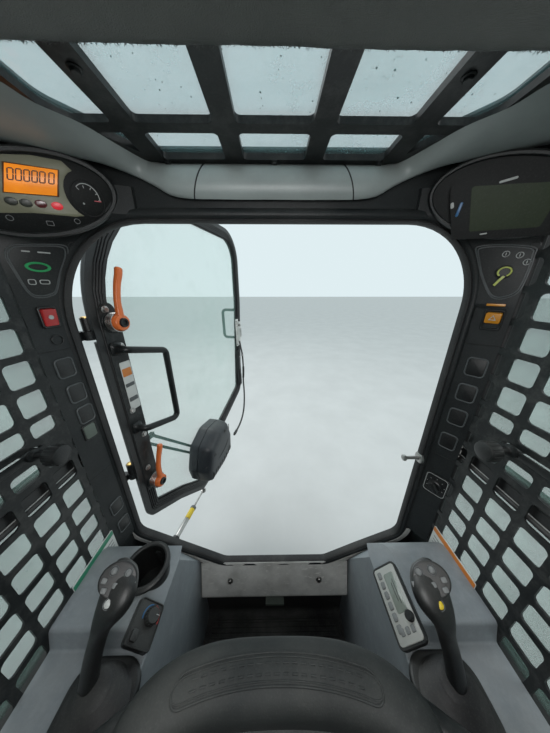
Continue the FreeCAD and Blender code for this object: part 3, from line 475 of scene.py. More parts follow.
def mix_colour(tree, factor, first, second):
    made = tree.nodes.new("ShaderNodeMix")
    made.data_type = "RGBA"
    for socket, value in ((made.inputs[0], factor), (made.inputs[6], first), (made.inputs[7], second)):
        if isinstance(value, (int, float)):
            socket.default_value = value
        elif isinstance(value, (tuple, list)):
            socket.default_value = (*value[:3], 1.0)
        else:
            tree.links.new(value, socket)
    return made.outputs[2]


def build_dust_group():
    """Dust that gathers on upward faces and in broad patches, with fine specks."""
    tree = group("Cab Dust", [("Color", "NodeSocketColor", (0.1, 0.1, 0.1, 1)),
                              ("Dust Color", "NodeSocketColor", (0.30, 0.28, 0.24, 1)),
                              ("Amount", "NodeSocketFloat", 0.4), ("Roughness", "NodeSocketFloat", 0.5)],
                 [("Color", "NodeSocketColor"), ("Roughness", "NodeSocketFloat"),
                  ("Mask", "NodeSocketFloat")])
    start, end = tree.nodes["in"], tree.nodes["out"]
    coords = node(tree, "ShaderNodeTexCoord")
    broad = node(tree, "ShaderNodeTexNoise", Scale=7.0, Detail=6.0, Roughness=0.62)
    fine = node(tree, "ShaderNodeTexNoise", Scale=420.0, Detail=2.0, Roughness=0.7)
    for texture in (broad, fine):
        link(tree, coords, "Object", texture, "Vector")
    shape = node(tree, "ShaderNodeNewGeometry")
    split = node(tree, "ShaderNodeSeparateXYZ")
    link(tree, shape, "Normal", split, "Vector")
    upward = ramp(tree, split, "Z", 0.1, 1.0, 0.25, 1.0)
    patches = ramp(tree, broad, "Fac", 0.40, 0.72)
    specks = ramp(tree, fine, "Fac", 0.52, 0.68)
    both = math_node(tree, "MULTIPLY", patches.outputs[0], upward.outputs[0])
    both = math_node(tree, "ADD", both, math_node(tree, "MULTIPLY", specks.outputs[0], 0.28))
    mask = math_node(tree, "MULTIPLY", both, start.outputs["Amount"])
    limited = math_node(tree, "MINIMUM", mask, 0.9)
    colour = mix_colour(tree, limited, start.outputs["Color"], start.outputs["Dust Color"])
    tree.links.new(colour, end.inputs["Color"])
    rough = math_node(tree, "ADD", start.outputs["Roughness"], math_node(tree, "MULTIPLY", limited, 0.35))
    tree.links.new(math_node(tree, "MINIMUM", rough, 0.95), end.inputs["Roughness"])
    tree.links.new(limited, end.inputs["Mask"])
    return tree


def build_wear_group():
    """Edges rubbed to another colour, broken up by noise."""
    tree = group("Cab Edge Wear", [("Color", "NodeSocketColor", (0.1, 0.1, 0.1, 1)),
                                   ("Worn Color", "NodeSocketColor", (0.35, 0.34, 0.32, 1)),
                                   ("Amount", "NodeSocketFloat", 0.4)],
                 [("Color", "NodeSocketColor"), ("Mask", "NodeSocketFloat")])
    start, end = tree.nodes["in"], tree.nodes["out"]
    coords = node(tree, "ShaderNodeTexCoord")
    shape = node(tree, "ShaderNodeNewGeometry")
    edges = ramp(tree, shape, "Pointiness", 0.52, 0.60)
    broken = node(tree, "ShaderNodeTexNoise", Scale=38.0, Detail=8.0, Roughness=0.75)
    link(tree, coords, "Object", broken, "Vector")
    patches = ramp(tree, broken, "Fac", 0.47, 0.62)
    mask = math_node(tree, "MULTIPLY", edges.outputs[0], patches.outputs[0])
    mask = math_node(tree, "MULTIPLY", mask, start.outputs["Amount"])
    tree.links.new(mix_colour(tree, mask, start.outputs["Color"], start.outputs["Worn Color"]),
                   end.inputs["Color"])
    tree.links.new(mask, end.inputs["Mask"])
    return tree


def build_grain_group():
    """The pebble grain of moulded plastic and vinyl, as a height."""
    tree = group("Cab Moulded Grain",
                 [("Scale", "NodeSocketFloat", 900.0), ("Depth", "NodeSocketFloat", 0.5)],
                 [("Height", "NodeSocketFloat")])
    start, end = tree.nodes["in"], tree.nodes["out"]
    coords = node(tree, "ShaderNodeTexCoord")
    cells = node(tree, "ShaderNodeTexVoronoi", {"feature": "SMOOTH_F1"}, Smoothness=0.6, Randomness=1.0)
    link(tree, coords, "Object", cells, "Vector")
    tree.links.new(start.outputs["Scale"], cells.inputs["Scale"])
    soft = node(tree, "ShaderNodeTexNoise", Scale=160.0, Detail=3.0)
    link(tree, coords, "Object", soft, "Vector")
    height = math_node(tree, "ADD", cells.outputs["Distance"],
                       math_node(tree, "MULTIPLY", soft.outputs["Fac"], 0.4))
    tree.links.new(math_node(tree, "MULTIPLY", height, start.outputs["Depth"]), end.inputs["Height"])
    return tree


def build_scratch_group():
    """Fine scratches and rubbed streaks in two directions."""
    tree = group("Cab Scratches", [("Scale", "NodeSocketFloat", 60.0), ("Amount", "NodeSocketFloat", 0.5)],
                 [("Mask", "NodeSocketFloat")])
    start, end = tree.nodes["in"], tree.nodes["out"]
    coords = node(tree, "ShaderNodeTexCoord")
    masks = []
    for turn, stretch in ((0.5, 14.0), (-0.9, 9.0)):
        place = node(tree, "ShaderNodeMapping")
        place.inputs["Rotation"].default_value = (0.3, 0.2, turn)
        place.inputs["Scale"].default_value = (1.0, stretch, 1.0)
        link(tree, coords, "Object", place, "Vector")
        lines = node(tree, "ShaderNodeTexNoise", Detail=5.0, Roughness=0.6)
        link(tree, place, "Vector", lines, "Vector")
        tree.links.new(start.outputs["Scale"], lines.inputs["Scale"])
        masks.append(ramp(tree, lines, "Fac", 0.62, 0.70).outputs[0])
    both = math_node(tree, "MAXIMUM", masks[0], masks[1])
    tree.links.new(math_node(tree, "MULTIPLY", both, start.outputs["Amount"]), end.inputs["Mask"])
    return tree


def build_weave_group():
    """Crossed threads of a webbing or a felted cloth, as a height and a painted shade that darkens the colour
    where the threads lie low.
    """
    tree = group("Cab Weave", [("Scale", "NodeSocketFloat", 600.0)],
                 [("Height", "NodeSocketFloat"), ("Shade", "NodeSocketFloat")])
    start, end = tree.nodes["in"], tree.nodes["out"]
    coords = node(tree, "ShaderNodeTexCoord")
    threads = []
    for direction in ("X", "Z"):
        wave = node(tree, "ShaderNodeTexWave", {"bands_direction": direction}, Distortion=1.2, Detail=2.0)
        link(tree, coords, "Object", wave, "Vector")
        tree.links.new(start.outputs["Scale"], wave.inputs["Scale"])
        threads.append(wave.outputs["Fac"])
    height = math_node(tree, "MULTIPLY", threads[0], threads[1])
    tree.links.new(height, end.inputs["Height"])
    # Painted shade: the lower a thread lies, the darker the colour this gives.
    tree.links.new(math_node(tree, "ADD", math_node(tree, "MULTIPLY", height, 0.5), 0.6), end.inputs["Shade"])
    return tree


GROUP_BUILDERS = {"dust": build_dust_group, "wear": build_wear_group, "grain": build_grain_group,
                  "scratch": build_scratch_group, "weave": build_weave_group}
GROUPS = {}


def use_group(tree, name, **values):
    if name not in GROUPS:
        GROUPS[name] = GROUP_BUILDERS[name]()
    made = tree.nodes.new("ShaderNodeGroup")
    made.node_tree = GROUPS[name]
    for key, value in values.items():
        made.inputs[key.replace("_", " ")].default_value = value
    return made


# Materials


def base_material(name, **sockets):
    material = bpy.data.materials.new(name)
    material.use_nodes = True
    tree = material.node_tree
    shader = tree.nodes["Principled BSDF"]
    for key, value in sockets.items():
        shader.inputs[key.replace("_", " ")].default_value = value
    return material, tree, shader


def bumped(tree, shader, height, strength, distance=0.0004):
    bump = node(tree, "ShaderNodeBump", Strength=strength, Distance=distance)
    tree.links.new(height, bump.inputs["Height"])
    link(tree, bump, "Normal", shader, "Normal")


def mottled(tree, colour, darker, scale, low=0.35, high=0.65):
    coords = node(tree, "ShaderNodeTexCoord")
    noise = node(tree, "ShaderNodeTexNoise", Scale=scale, Detail=5.0, Roughness=0.6)
    link(tree, coords, "Object", noise, "Vector")
    return mix_colour(tree, ramp(tree, noise, "Fac", low, high).outputs[0], darker, colour)


def scaled(colour, factor):
    return tuple(min(1.0, c * factor) for c in colour[:3])


def moulded(name, colour, rough, grain=900.0, depth=0.5, dust=0.4, wear=0.2, dust_colour=(0.26, 0.26, 0.24),
            variation=0.86, **sockets):
    """Plastic, rubber or paint with grain, dust and rubbed edges."""
    settings = bpy.context.scene.cab_finish
    material, tree, shader = base_material(name, **sockets)
    tone = mottled(tree, colour, scaled(colour, variation), 9.0)
    worn = use_group(tree, "wear", Worn_Color=(*scaled(colour, 4.0), 1), Amount=wear * settings.wear * 2.2)
    tree.links.new(tone, worn.inputs["Color"])
    dusty = use_group(tree, "dust", Dust_Color=(*dust_colour, 1), Amount=dust * settings.dust * 2.2,
                      Roughness=rough)
    link(tree, worn, "Color", dusty, "Color")
    link(tree, dusty, "Color", shader, "Base Color")
    link(tree, dusty, "Roughness", shader, "Roughness")
    pebbles = use_group(tree, "grain", Scale=grain, Depth=depth)
    bumped(tree, shader, pebbles.outputs["Height"], 0.35)
    return material


def painted_steel(name, colour, rough, worn_colour=(0.12, 0.12, 0.115), wear=0.5, dust=0.4):
    settings = bpy.context.scene.cab_finish
    material, tree, shader = base_material(name)
    shader.inputs["Specular IOR Level"].default_value = 0.3
    tone = mottled(tree, colour, scaled(colour, 0.8), 6.0)
    worn = use_group(tree, "wear", Worn_Color=(*worn_colour, 1), Amount=wear * settings.wear * 2.2)
    tree.links.new(tone, worn.inputs["Color"])
    dusty = use_group(tree, "dust", Dust_Color=(0.15, 0.155, 0.15, 1), Amount=dust * settings.dust * 2.2,
                      Roughness=rough)
    link(tree, worn, "Color", dusty, "Color")
    link(tree, dusty, "Color", shader, "Base Color")
    link(tree, dusty, "Roughness", shader, "Roughness")
    coords = node(tree, "ShaderNodeTexCoord")
    peel = node(tree, "ShaderNodeTexNoise", Scale=260.0, Detail=2.0)
    link(tree, coords, "Object", peel, "Vector")
    bumped(tree, shader, peel.outputs["Fac"], 0.18)
    return material


def bare_metal(name, colour, rough, stain=0.5):
    material, tree, shader = base_material(name, Metallic=1.0)
    tone = mottled(tree, colour, scaled(colour, stain), 30.0)
    tree.links.new(tone, shader.inputs["Base Color"])
    marks = use_group(tree, "scratch", Scale=90.0, Amount=0.6)
    shine = ramp(tree, marks, "Mask", 0.0, 1.0, rough, min(1.0, rough + 0.25))
    link(tree, shine, "Result", shader, "Roughness")
    bumped(tree, shader, marks.outputs["Mask"], 0.25, 0.0002)
    return material


def worn_sheet(name):
    """Painted sheet rubbed and stained by boots."""
    material, tree, shader = base_material(name, Metallic=0.0)
    tone = mottled(tree, (0.74, 0.745, 0.72), (0.46, 0.46, 0.44), 14.0, 0.3, 0.62)
    marks = use_group(tree, "scratch", Scale=42.0, Amount=0.75)
    tone = mix_colour(tree, marks.outputs["Mask"], tone, (0.86, 0.86, 0.82))
    dusty = use_group(tree, "dust", Dust_Color=(0.42, 0.40, 0.35, 1), Amount=0.4, Roughness=0.5)
    tree.links.new(tone, dusty.inputs["Color"])
    link(tree, dusty, "Color", shader, "Base Color")
    link(tree, dusty, "Roughness", shader, "Roughness")
    bumped(tree, shader, marks.outputs["Mask"], 0.4)
    return material


def felt_material(name, colour):
    material, tree, shader = base_material(name, Roughness=0.95, Sheen_Weight=0.6, Sheen_Roughness=0.4)
    weave = use_group(tree, "weave", Scale=240.0)
    tone = mottled(tree, colour, scaled(colour, 0.55), 55.0, 0.3, 0.7)
    # Painted shade: the felt's tone darkens towards half its value in the weave's low hollows.
    shade = mix_colour(tree, weave.outputs["Shade"], scaled(colour, 0.5), tone)
    tree.links.new(shade, shader.inputs["Base Color"])
    coords = node(tree, "ShaderNodeTexCoord")
    fuzz = node(tree, "ShaderNodeTexNoise", Scale=700.0, Detail=6.0, Roughness=0.8)
    link(tree, coords, "Object", fuzz, "Vector")
    bumped(tree, shader, fuzz.outputs["Fac"], 0.9, 0.0015)
    return material


def webbing(name):
    material, tree, shader = base_material(name, Roughness=0.8, Sheen_Weight=0.3)
    weave = use_group(tree, "weave", Scale=900.0)
    # Painted shade: the webbing's colour is darker where the weave's threads lie low.
    tree.links.new(mix_colour(tree, weave.outputs["Shade"], (0.006, 0.006, 0.007), (0.03, 0.03, 0.032)),
                   shader.inputs["Base Color"])
    bumped(tree, shader, weave.outputs["Height"], 0.8, 0.0006)
    return material


def window_glass(name, colour, alpha, streaks=0.5):
    """Thin tinted glass with a film of dirt and dried drops."""
    material, tree, shader = base_material(name, Roughness=0.03, IOR=1.45)
    shader.inputs["Specular IOR Level"].default_value = 0.5
    coords = node(tree, "ShaderNodeTexCoord")
    film = node(tree, "ShaderNodeTexNoise", Scale=4.0, Detail=7.0, Roughness=0.7)
    drops = node(tree, "ShaderNodeTexVoronoi", {"feature": "F1"}, Scale=85.0, Randomness=1.0)
    for texture in (film, drops):
        link(tree, coords, "Object", texture, "Vector")
    dots = ramp(tree, drops, "Distance", 0.10, 0.17, 1.0, 0.0)
    patches = ramp(tree, film, "Fac", 0.48, 0.74)
    rare = math_node(tree, "MULTIPLY", dots.outputs[0], ramp(tree, film, "Fac", 0.52, 0.60).outputs[0])
    dirt = math_node(tree, "MAXIMUM", math_node(tree, "MULTIPLY", patches.outputs[0], 0.35),
                     math_node(tree, "MULTIPLY", rare, 0.7))
    dirt = math_node(tree, "MULTIPLY", dirt, streaks)
    tree.links.new(mix_colour(tree, dirt, colour, (0.55, 0.55, 0.50)), shader.inputs["Base Color"])
    tree.links.new(math_node(tree, "ADD", math_node(tree, "MULTIPLY", dirt, 0.5), alpha),
                   shader.inputs["Alpha"])
    return material


def lit(name, colour, strength, rough=0.3):
    material, tree, shader = base_material(name, Roughness=rough)
    shader.inputs["Emission Strength"].default_value = strength
    tone = mottled(tree, colour, scaled(colour, 0.75), 25.0)
    tree.links.new(tone, shader.inputs["Base Color"])
    tree.links.new(tone, shader.inputs["Emission Color"])
    return material


def glossy(name, colour, rough=0.08, coat=0.6, shine=0.5):
    material, tree, shader = base_material(name, Coat_Weight=coat, Coat_Roughness=0.1,
                                           Specular_IOR_Level=shine)
    dusty = use_group(tree, "dust", Amount=0.12, Roughness=rough, Dust_Color=(0.2, 0.2, 0.19, 1))
    tree.links.new(mottled(tree, colour, scaled(colour, 0.8), 12.0), dusty.inputs["Color"])
    link(tree, dusty, "Color", shader, "Base Color")
    link(tree, dusty, "Roughness", shader, "Roughness")
    return material


def finish_makers():
    cab = bpy.context.scene.cab_finish
    shell, grille, dark = tuple(cab.shell), tuple(cab.grille), tuple(cab.dark_moulding)
    grey = tuple(cab.grey_moulding)
    header = tuple(cab.header)
    lever = tuple(cab.lever)
    glass = tuple(cab.glass)
    return {
        "shell_paint": lambda n: painted_steel(n, shell, 0.42),
        "grille_paint": lambda n: painted_steel(n, grille, 0.36, wear=0.6),
        "worn_steel": worn_sheet,
        "floor_black": lambda n: moulded(n, (0.013, 0.013, 0.014), 0.75, 260.0, 0.9, 0.8, 0.2),
        "dark_plastic": lambda n: moulded(n, dark, 0.48, 1100.0, 0.45, 0.35, 0.25, Specular_IOR_Level=0.35),
        "grey_plastic": lambda n: moulded(n, grey, 0.50, 900.0, 0.5, 0.55, 0.15, (0.36, 0.35, 0.32)),
        "black_plastic": lambda n: moulded(n, (0.0060, 0.0068, 0.0074), 0.38, 1300.0, 0.35, 0.35, 0.3),
        "header_grey": lambda n: moulded(n, header, 0.36, 1500.0, 0.2, 0.35, 0.0, (0.42, 0.43, 0.40), 0.80),
        "silver_plastic": lambda n: moulded(n, (0.36, 0.37, 0.35), 0.32, 1500.0, 0.15, 0.4, 0.2,
                                            (0.40, 0.39, 0.35)),
        "felt": lambda n: felt_material(n, (0.058, 0.068, 0.058)),
        "seat_vinyl": lambda n: moulded(n, (0.022, 0.024, 0.025), 0.48, 420.0, 0.9, 0.4, 0.2),
        "pad_rubber": lambda n: moulded(n, (0.016, 0.019, 0.019), 0.62, 520.0, 0.7, 0.30, 0.35,
                                        Specular_IOR_Level=0.3),
        "seal_rubber": lambda n: moulded(n, (0.010, 0.010, 0.011), 0.55, 700.0, 0.3, 0.5, 0.1),
        "lever_orange": lambda n: moulded(n, lever, 0.34, 1500.0, 0.12, 0.25, 0.15, (0.45, 0.30, 0.20), 0.85),
        "steel": lambda n: bare_metal(n, (0.56, 0.55, 0.53), 0.32),
        "stay_yellow": lambda n: moulded(n, (0.78, 0.56, 0.02), 0.35, 1500.0, 0.1, 0.5, 0.3),
        "belt_webbing": webbing,
        "lamp_lens": lambda n: glossy(n, (0.62, 0.65, 0.67), 0.12),
        "glass_clear": lambda n: window_glass(n, (0.52, 0.86, 0.90), 0.30, 0.6),
        "glass_green": lambda n: window_glass(n, glass, 0.30, 0.5),
        "glass_door": lambda n: window_glass(n, glass, 0.14, 0.4),
        "glass_side": lambda n: window_glass(n, scaled(glass, 0.80), 0.36, 0.5),
        "mark_dark": lambda n: moulded(n, (0.075, 0.085, 0.088), 0.45, 1500.0, 0.1, 0.3, 0.0),
        "gauge_black": lambda n: glossy(n, (0.005, 0.0065, 0.0065), 0.5, 0.0, 0.15),
        "dull_red": lambda n: glossy(n, (0.10, 0.012, 0.014), 0.2),
        "cover_blue_grey": lambda n: moulded(n, (0.017, 0.021, 0.026), 0.42, 800.0, 0.4, 0.5, 0.2),
        "lcd_grey": lambda n: glossy(n, (0.20, 0.23, 0.20), 0.12),
        "plate_olive": lambda n: moulded(n, (0.10, 0.125, 0.105), 0.5, 1200.0, 0.2, 0.4, 0.2),
        "jamb_grey": lambda n: moulded(n, (0.20, 0.21, 0.21), 0.45, 1000.0, 0.2, 0.7, 0.3,
                                       (0.30, 0.28, 0.25)),
        "debris": lambda n: moulded(n, (0.05, 0.05, 0.04), 0.9, 700.0, 0.3, 0.0, 0.0),
        "brass": lambda n: bare_metal(n, (0.62, 0.43, 0.16), 0.30),
        "amber_display": lambda n: lit(n, (0.85, 0.25, 0.015), 0.6),
        "display_ink": lambda n: moulded(n, (0.10, 0.035, 0.005), 0.5, 1500.0, 0.1, 0.0, 0.0),
        "cluster_face": lambda n: moulded(n, (0.205, 0.205, 0.135), 0.42, 1500.0, 0.15, 0.3, 0.0,
                                          (0.25, 0.25, 0.2)),
        "dark_screen": lambda n: glossy(n, (0.008, 0.016, 0.008), 0.45, 0.0, 0.2),
        "green_screen": lambda n: glossy(n, (0.013, 0.026, 0.006), 0.45, 0.0, 0.2),
        "red_light": lambda n: lit(n, (0.55, 0.02, 0.03), 0.6),
        "dull_light": lambda n: glossy(n, (0.016, 0.020, 0.012), 0.4, 0.1),
        "needle_red": lambda n: lit(n, (0.55, 0.10, 0.12), 0.3),
        "dial_white": lambda n: moulded(n, (0.42, 0.44, 0.43), 0.5, 1500.0, 0.1, 0.2, 0.0),
        "mark_grey": lambda n: moulded(n, (0.16, 0.17, 0.17), 0.5, 1500.0, 0.1, 0.2, 0.0),
        "ring_green": lambda n: lit(n, (0.03, 0.28, 0.10), 0.15),
        "key_lime": lambda n: moulded(n, (0.50, 0.56, 0.13), 0.42, 1500.0, 0.1, 0.2, 0.1),
        "switch_red": lambda n: moulded(n, (0.42, 0.02, 0.02), 0.3, 1500.0, 0.1, 0.3, 0.1),
        "switch_amber": lambda n: moulded(n, (0.55, 0.22, 0.01), 0.3, 1500.0, 0.1, 0.3, 0.1),
        "button_blue": lambda n: lit(n, (0.02, 0.09, 0.20), 0.2),
        "button_pale": lambda n: moulded(n, (0.50, 0.52, 0.50), 0.4, 1500.0, 0.1, 0.3, 0.1),
        "button_yellow": lambda n: moulded(n, (0.75, 0.55, 0.02), 0.38, 1500.0, 0.1, 0.3, 0.1),
        "plate_white": lambda n: moulded(n, (0.58, 0.60, 0.58), 0.45, 1500.0, 0.1, 0.5, 0.0,
                                         (0.35, 0.33, 0.29)),
        "plate_green": lambda n: moulded(n, (0.02, 0.22, 0.12), 0.4, 1500.0, 0.1, 0.3, 0.0),
        "plate_orange": lambda n: moulded(n, (0.62, 0.20, 0.03), 0.4, 1500.0, 0.1, 0.3, 0.0),
    }


FINISHES = {}


def finish(name):
    """The material of that name, made when it is first asked for."""
    if name not in FINISHES:
        FINISHES[name] = finish_makers()[name](name)
    return FINISHES[name]


# Pieces


class PieceOperator(bpy.types.Operator):
    bl_options = {"REGISTER", "UNDO"}

    def execute(self, context):
        self.build(context)
        return {"FINISHED"}


OWN_FINISH = {"door_glass": "glass_door", "side_glass": "glass_side", "gauge_pod_right": "gauge_black",
              "work_lamps": "black_plastic"}


class CAB_OT_finishes(PieceOperator):
    """Give every carried-over part its finish"""
    bl_idname = "cab.finishes"
    bl_label = "Part Finishes"

    def build(self, context):
        slots = {part["node"]: part["material_slot"] for part in frame["record"]["subparts"]}
        for name, piece in NODES.items():
            piece.data.materials.clear()
            piece.data.materials.append(finish(OWN_FINISH.get(name, slots[name])))
            for face in piece.data.polygons:
                face.material_index = 0


class CAB_OT_opening_trim(PieceOperator):
    """Run the rounded trim and the seal round the door opening"""
    bl_idname = "cab.opening_trim"
    bl_label = "Opening Trim"

    def build(self, context):
        edge = [Vector((x, FRONT_FACE_Y, z)) for x, z in opening_path(0.0)]
        bm = bmesh.new()
        sweep_opening(bm, edge,
                      [(0.0, 0.0), (0.0015, 0.0040), (0.0060, 0.0060), (0.0120, 0.0045), (0.0160, 0.0)])
        add_object("opening_trim", bm, "dark_plastic", "cab", 60)
        bm = bmesh.new()
        sweep_opening(bm, edge, [(-0.0055, -0.0110), (-0.0055, -0.0030), (-0.0030, 0.0010), (0.0, 0.0),
                                 (0.0, -0.0110)])
        add_object("opening_lip", bm, "seal_rubber", "cab", 60)


class CAB_OT_header(PieceOperator):
    """Shape the grey moulding over the door opening"""
    bl_idname = "cab.header"
    bl_label = "Header Moulding"

    def build(self, context):
        rows = self.half_rows(RIGHT)[::-1] + self.half_rows(LEFT)[1:]
        bm = bmesh.new()
        add_loft(bm, rows, closed=True)
        piece = add_object("header_cover", bm, "header_grey", "cab", 60)
        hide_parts("header_moulding")
        bm = bmesh.new()
        for side in (LEFT, RIGHT):
            lower, upper = Vector((side * 0.133, -0.530, 1.362)), Vector((side * 0.114, -0.538, 1.414))
            path = [lower.lerp(upper, f) + Vector((0, self.bulge(f) + 0.0004, 0)) for f in
                    [k / 12 for k in range(13)]]
            add_sweep(bm, path, round_section(0.0012, 6), up=(1, 0, 0))
        add_object("header_seams", bm, "black_plastic", "cab")

    def bulge(self, f):
        return 0.014 * math.sin(math.pi * f) ** 0.7 + 0.003 * (1 - f)

    def half_rows(self, side):
        """Rows from the middle outwards, each from the lower edge to the upper one and back behind."""
        table = [
            # lower x, y, z, upper x, y, swell
            (0.000, -0.530, 1.362, 0.000, -0.538, 1.0), (0.080, -0.530, 1.362, 0.080, -0.538, 1.0),
            (0.160, -0.528, 1.364, 0.168, -0.538, 1.0), (0.198, -0.528, 1.381, 0.188, -0.535, 0.8),
            (0.228, -0.528, 1.394, 0.206, -0.528, 0.7), (0.270, -0.515, 1.4045, 0.224, -0.490, 0.6),
            (0.314, -0.500, 1.4070, 0.241, -0.450, 0.5), (0.373, -0.468, 1.4070, 0.266, -0.420, 0.5),
            (0.438, -0.430, 1.4065, 0.275, -0.390, 0.5), (0.438, -0.372, 1.4060, 0.300, -0.352, 0.5),
        ]
        smooth = smooth_path([row[:3] for row in table], 4)
        upper = smooth_path([(row[3], row[4], 1.414) for row in table], 4)
        swell = smooth_path([(row[5], 0, 0) for row in table], 4)
        rows = []
        for low, high, much in zip(smooth, upper, swell):
            row = []
            flat = min(1.0, max(0.0, (low.x - 0.16) / 0.12))
            for k in range(13):
                f = k / 12
                p = low.lerp(high, f)
                amount = self.bulge(f) * much.x
                p = p + Vector((-amount * 0.3 * flat, amount * (1 - 0.6 * flat), -amount * flat * 0.9))
                row.append(Vector((side * min(0.4385, p.x), p.y, min(1.4138, p.z))))
            behind = (low + high) / 2
            row.append(Vector((side * behind.x, max(-0.5385, behind.y - 0.012), 1.4139)))
            row.append(Vector((side * min(0.4385, low.x + 0.002), max(-0.5385, low.y - 0.010),
                               min(1.4138, low.z + 0.004))))
            rows.append(row)
        return rows


def opening_reach(side, z):
    """How far from the middle the door opening's edge lies at a height, with the cover's lip."""
    half, round_z, radius = (0.235, 1.1475, 0.190) if side == LEFT else (0.247, 1.1875, 0.150)
    widest = 0.428 if side == LEFT else 0.4056
    if z <= round_z:
        return widest
    across = radius * radius - (z - round_z) ** 2
    return max(0.20, min(widest, half + math.sqrt(max(0.0, across)) + 0.003))


def corner_point(side, f, z, lift=0.0):
    """On a corner cover: f runs from the side frame, 0, to the opening's edge, 1."""
    rear = -0.478 if side == LEFT else -0.490
    reach = opening_reach(side, z)
    x, y = INNER_X + (reach - INNER_X) * f, rear + (FRONT_FACE_Y - rear) * f
    across = Vector((reach - INNER_X, FRONT_FACE_Y - rear, 0))
    out = Vector((across.y, -across.x, 0)).normalized()
    if out.y < 0:
        out = -out
    return Vector((side * (x + out.x * (lift + 0.001)), y + out.y * (lift + 0.001), z))


def corner_place(side, f, z, lift=0.0):
    """A frame on the corner cover, with x to the viewer's right."""
    a, b = corner_point(side, f - 0.05, z), corner_point(side, f + 0.05, z)
    c, d = corner_point(side, f, z - 0.004), corner_point(side, f, z + 0.004)
    normal = (b - a).cross(d - c)
    if normal.y < 0:
        normal = -normal
    return face_place(corner_point(side, f, z, lift), normal)


class CAB_OT_corner_covers(PieceOperator):
    """Mould the covers between the pillars, the pods and the opening, with their shields and marks"""
    bl_idname = "cab.corner_covers"
    bl_label = "Corner Covers"

    def build(self, context):
        for side, word in SIDES:
            bm = bmesh.new()
            rows = []
            steps = 14
            for k in range(48):
                z = 1.146 + 0.236 * k / 47
                row = [corner_point(side, f / steps, z) for f in range(steps)]
                row.append(corner_point(side, 0.985, z))
                edge = side * opening_reach(side, z)
                row.append(Vector((edge, FRONT_FACE_Y + 0.0035, z)))
                row.append(Vector((edge - side * 0.0012, FRONT_FACE_Y - 0.0005, z)))
                row.append(Vector((side * 0.4395, FRONT_FACE_Y - 0.0005, z)))
                rows.append(row)
            add_loft(bm, rows, closed=True)
            add_object("corner_cover_" + word, bm, "dark_plastic", "cab", 35)
        self.shields()
        self.marks()

    def shields(self):
        outlines = {
            LEFT: [(0.107, 1.2766), (0.209, 1.2876), (0.500, 1.2920), (0.796, 1.2939), (0.908, 1.2871),
                   (0.955, 1.268), (0.895, 1.2193), (0.728, 1.2087), (0.504, 1.2063), (0.342, 1.2093),
                   (0.231, 1.2226), (0.104, 1.2622)],
            RIGHT: [(0.872, 1.2852), (0.768, 1.2941), (0.400, 1.2930), (0.060, 1.2866), (0.012, 1.2728),
                    (0.020, 1.2276), (0.122, 1.2108), (0.397, 1.2034), (0.640, 1.2121), (0.855, 1.2462)],
        }
        bm = bmesh.new()
        for side, outline in outlines.items():
            for shrink, lift in ((1.0, 0.0), (0.93, 0.0004)):
                middle = (0.5, 1.252)
                flat = [Vector((middle[0] + (f - middle[0]) * shrink, middle[1] + (z - middle[1]) * shrink,
                                0))
                        for f, z in outline]
                path = [corner_point(side, p.x, p.y, lift) for p in smooth_path(flat, 6, closed=True)]
                add_sweep(bm, path, round_section(0.0011, 6), up=corner_place(side, 0.5, 1.25).col[2][:3],
                          closed=True)
        add_object("corner_shields", bm, "mark_dark", "cab")

    def marks(self):
        bm = bmesh.new()
        place = corner_place(LEFT, 0.531, 1.2572, 0.0004)
        add_frame_ring(bm, place, oval_points(0.0160, 0.0082), oval_points(0.0118, 0.0050), 0.0, 0.0016,
                       0.0005)
        add_object("start_ring", bm, "ring_green", "cab")
        bm = bmesh.new()
        for f, z, width in ((0.36, 1.2802, 0.010), (0.60, 1.2802, 0.016)):
            add_button(bm, corner_place(LEFT, f, z), ring_points(width, 0.0022, 0.0009), 0.0, 0.0010, 0.0003)
        for f, z, width, height in ((0.40, 1.2326, 0.0105, 0.0095), (0.64, 1.2330, 0.014, 0.0080)):
            add_frame_ring(bm, corner_place(LEFT, f, z), ring_points(width, height, 0.003),
                           ring_points(width - 0.0028, height - 0.0028, 0.0018), 0.0, 0.0010, 0.0003)
        for f, z in ((0.429, 1.279), (0.224, 1.276), (0.092, 1.2645)):
            add_frame_ring(bm, corner_place(RIGHT, f, z), oval_points(0.0050, 0.0050, 24),
                           oval_points(0.0039, 0.0039, 24), 0.0, 0.0010, 0.0003)
            add_button(bm, corner_place(RIGHT, f, z), ring_points(0.0012, 0.0050, 0.0005), 0.0, 0.0009,
                       0.0002)
        add_object("corner_marks", bm, "dial_white", "cab")
        bm = bmesh.new()
        for side, f, z in ((LEFT, 0.94, 1.2938), (RIGHT, 0.964, 1.2891), (RIGHT, 0.05, 1.2886)):
            add_lathe(bm, corner_place(side, f, z), [(0, -0.0016), (0.0045, -0.0016), (0.0052, 0.0002),
                                                     (0.0062, 0.0006), (0.0070, 0.0)], 24)
        add_object("corner_screws", bm, "black_plastic", "cab")
        self.key()

    def key(self):
        """The ignition: a dark barrel, with a coloured ring and a blade."""
        place = corner_place(RIGHT, 0.428, 1.2499)
        bm = bmesh.new()
        add_lathe(bm, place, [(0.0115, 0.0), (0.0110, 0.004), (0.0085, 0.005), (0.0080, 0.009), (0, 0.009)],
                  28)
        add_object("key_barrel", bm, "black_plastic", "cab")
        bm = bmesh.new()
        arc = []
        for k in range(25):
            a = math.radians(-60 + 290 * k / 24)
            arc.append(place @ Vector((0.0083 * math.cos(a), 0.0076 * math.sin(a) + 0.001, 0.011)))
        add_sweep(bm, arc, round_section(0.0014, 10), up=place.col[2][:3])
        blade = [place @ Vector(p) for p in ((0.0010, -0.006, 0.011), (-0.003, -0.012, 0.012),
                                             (-0.0080, -0.0215, 0.011))]
        add_sweep(bm, blade, [(-0.0019, -0.0010), (0.0019, -0.0010), (0.0019, 0.0010), (-0.0019, 0.0010)],
                  up=place.col[2][:3])
        add_object("key_grip", bm, "key_lime", "cab")


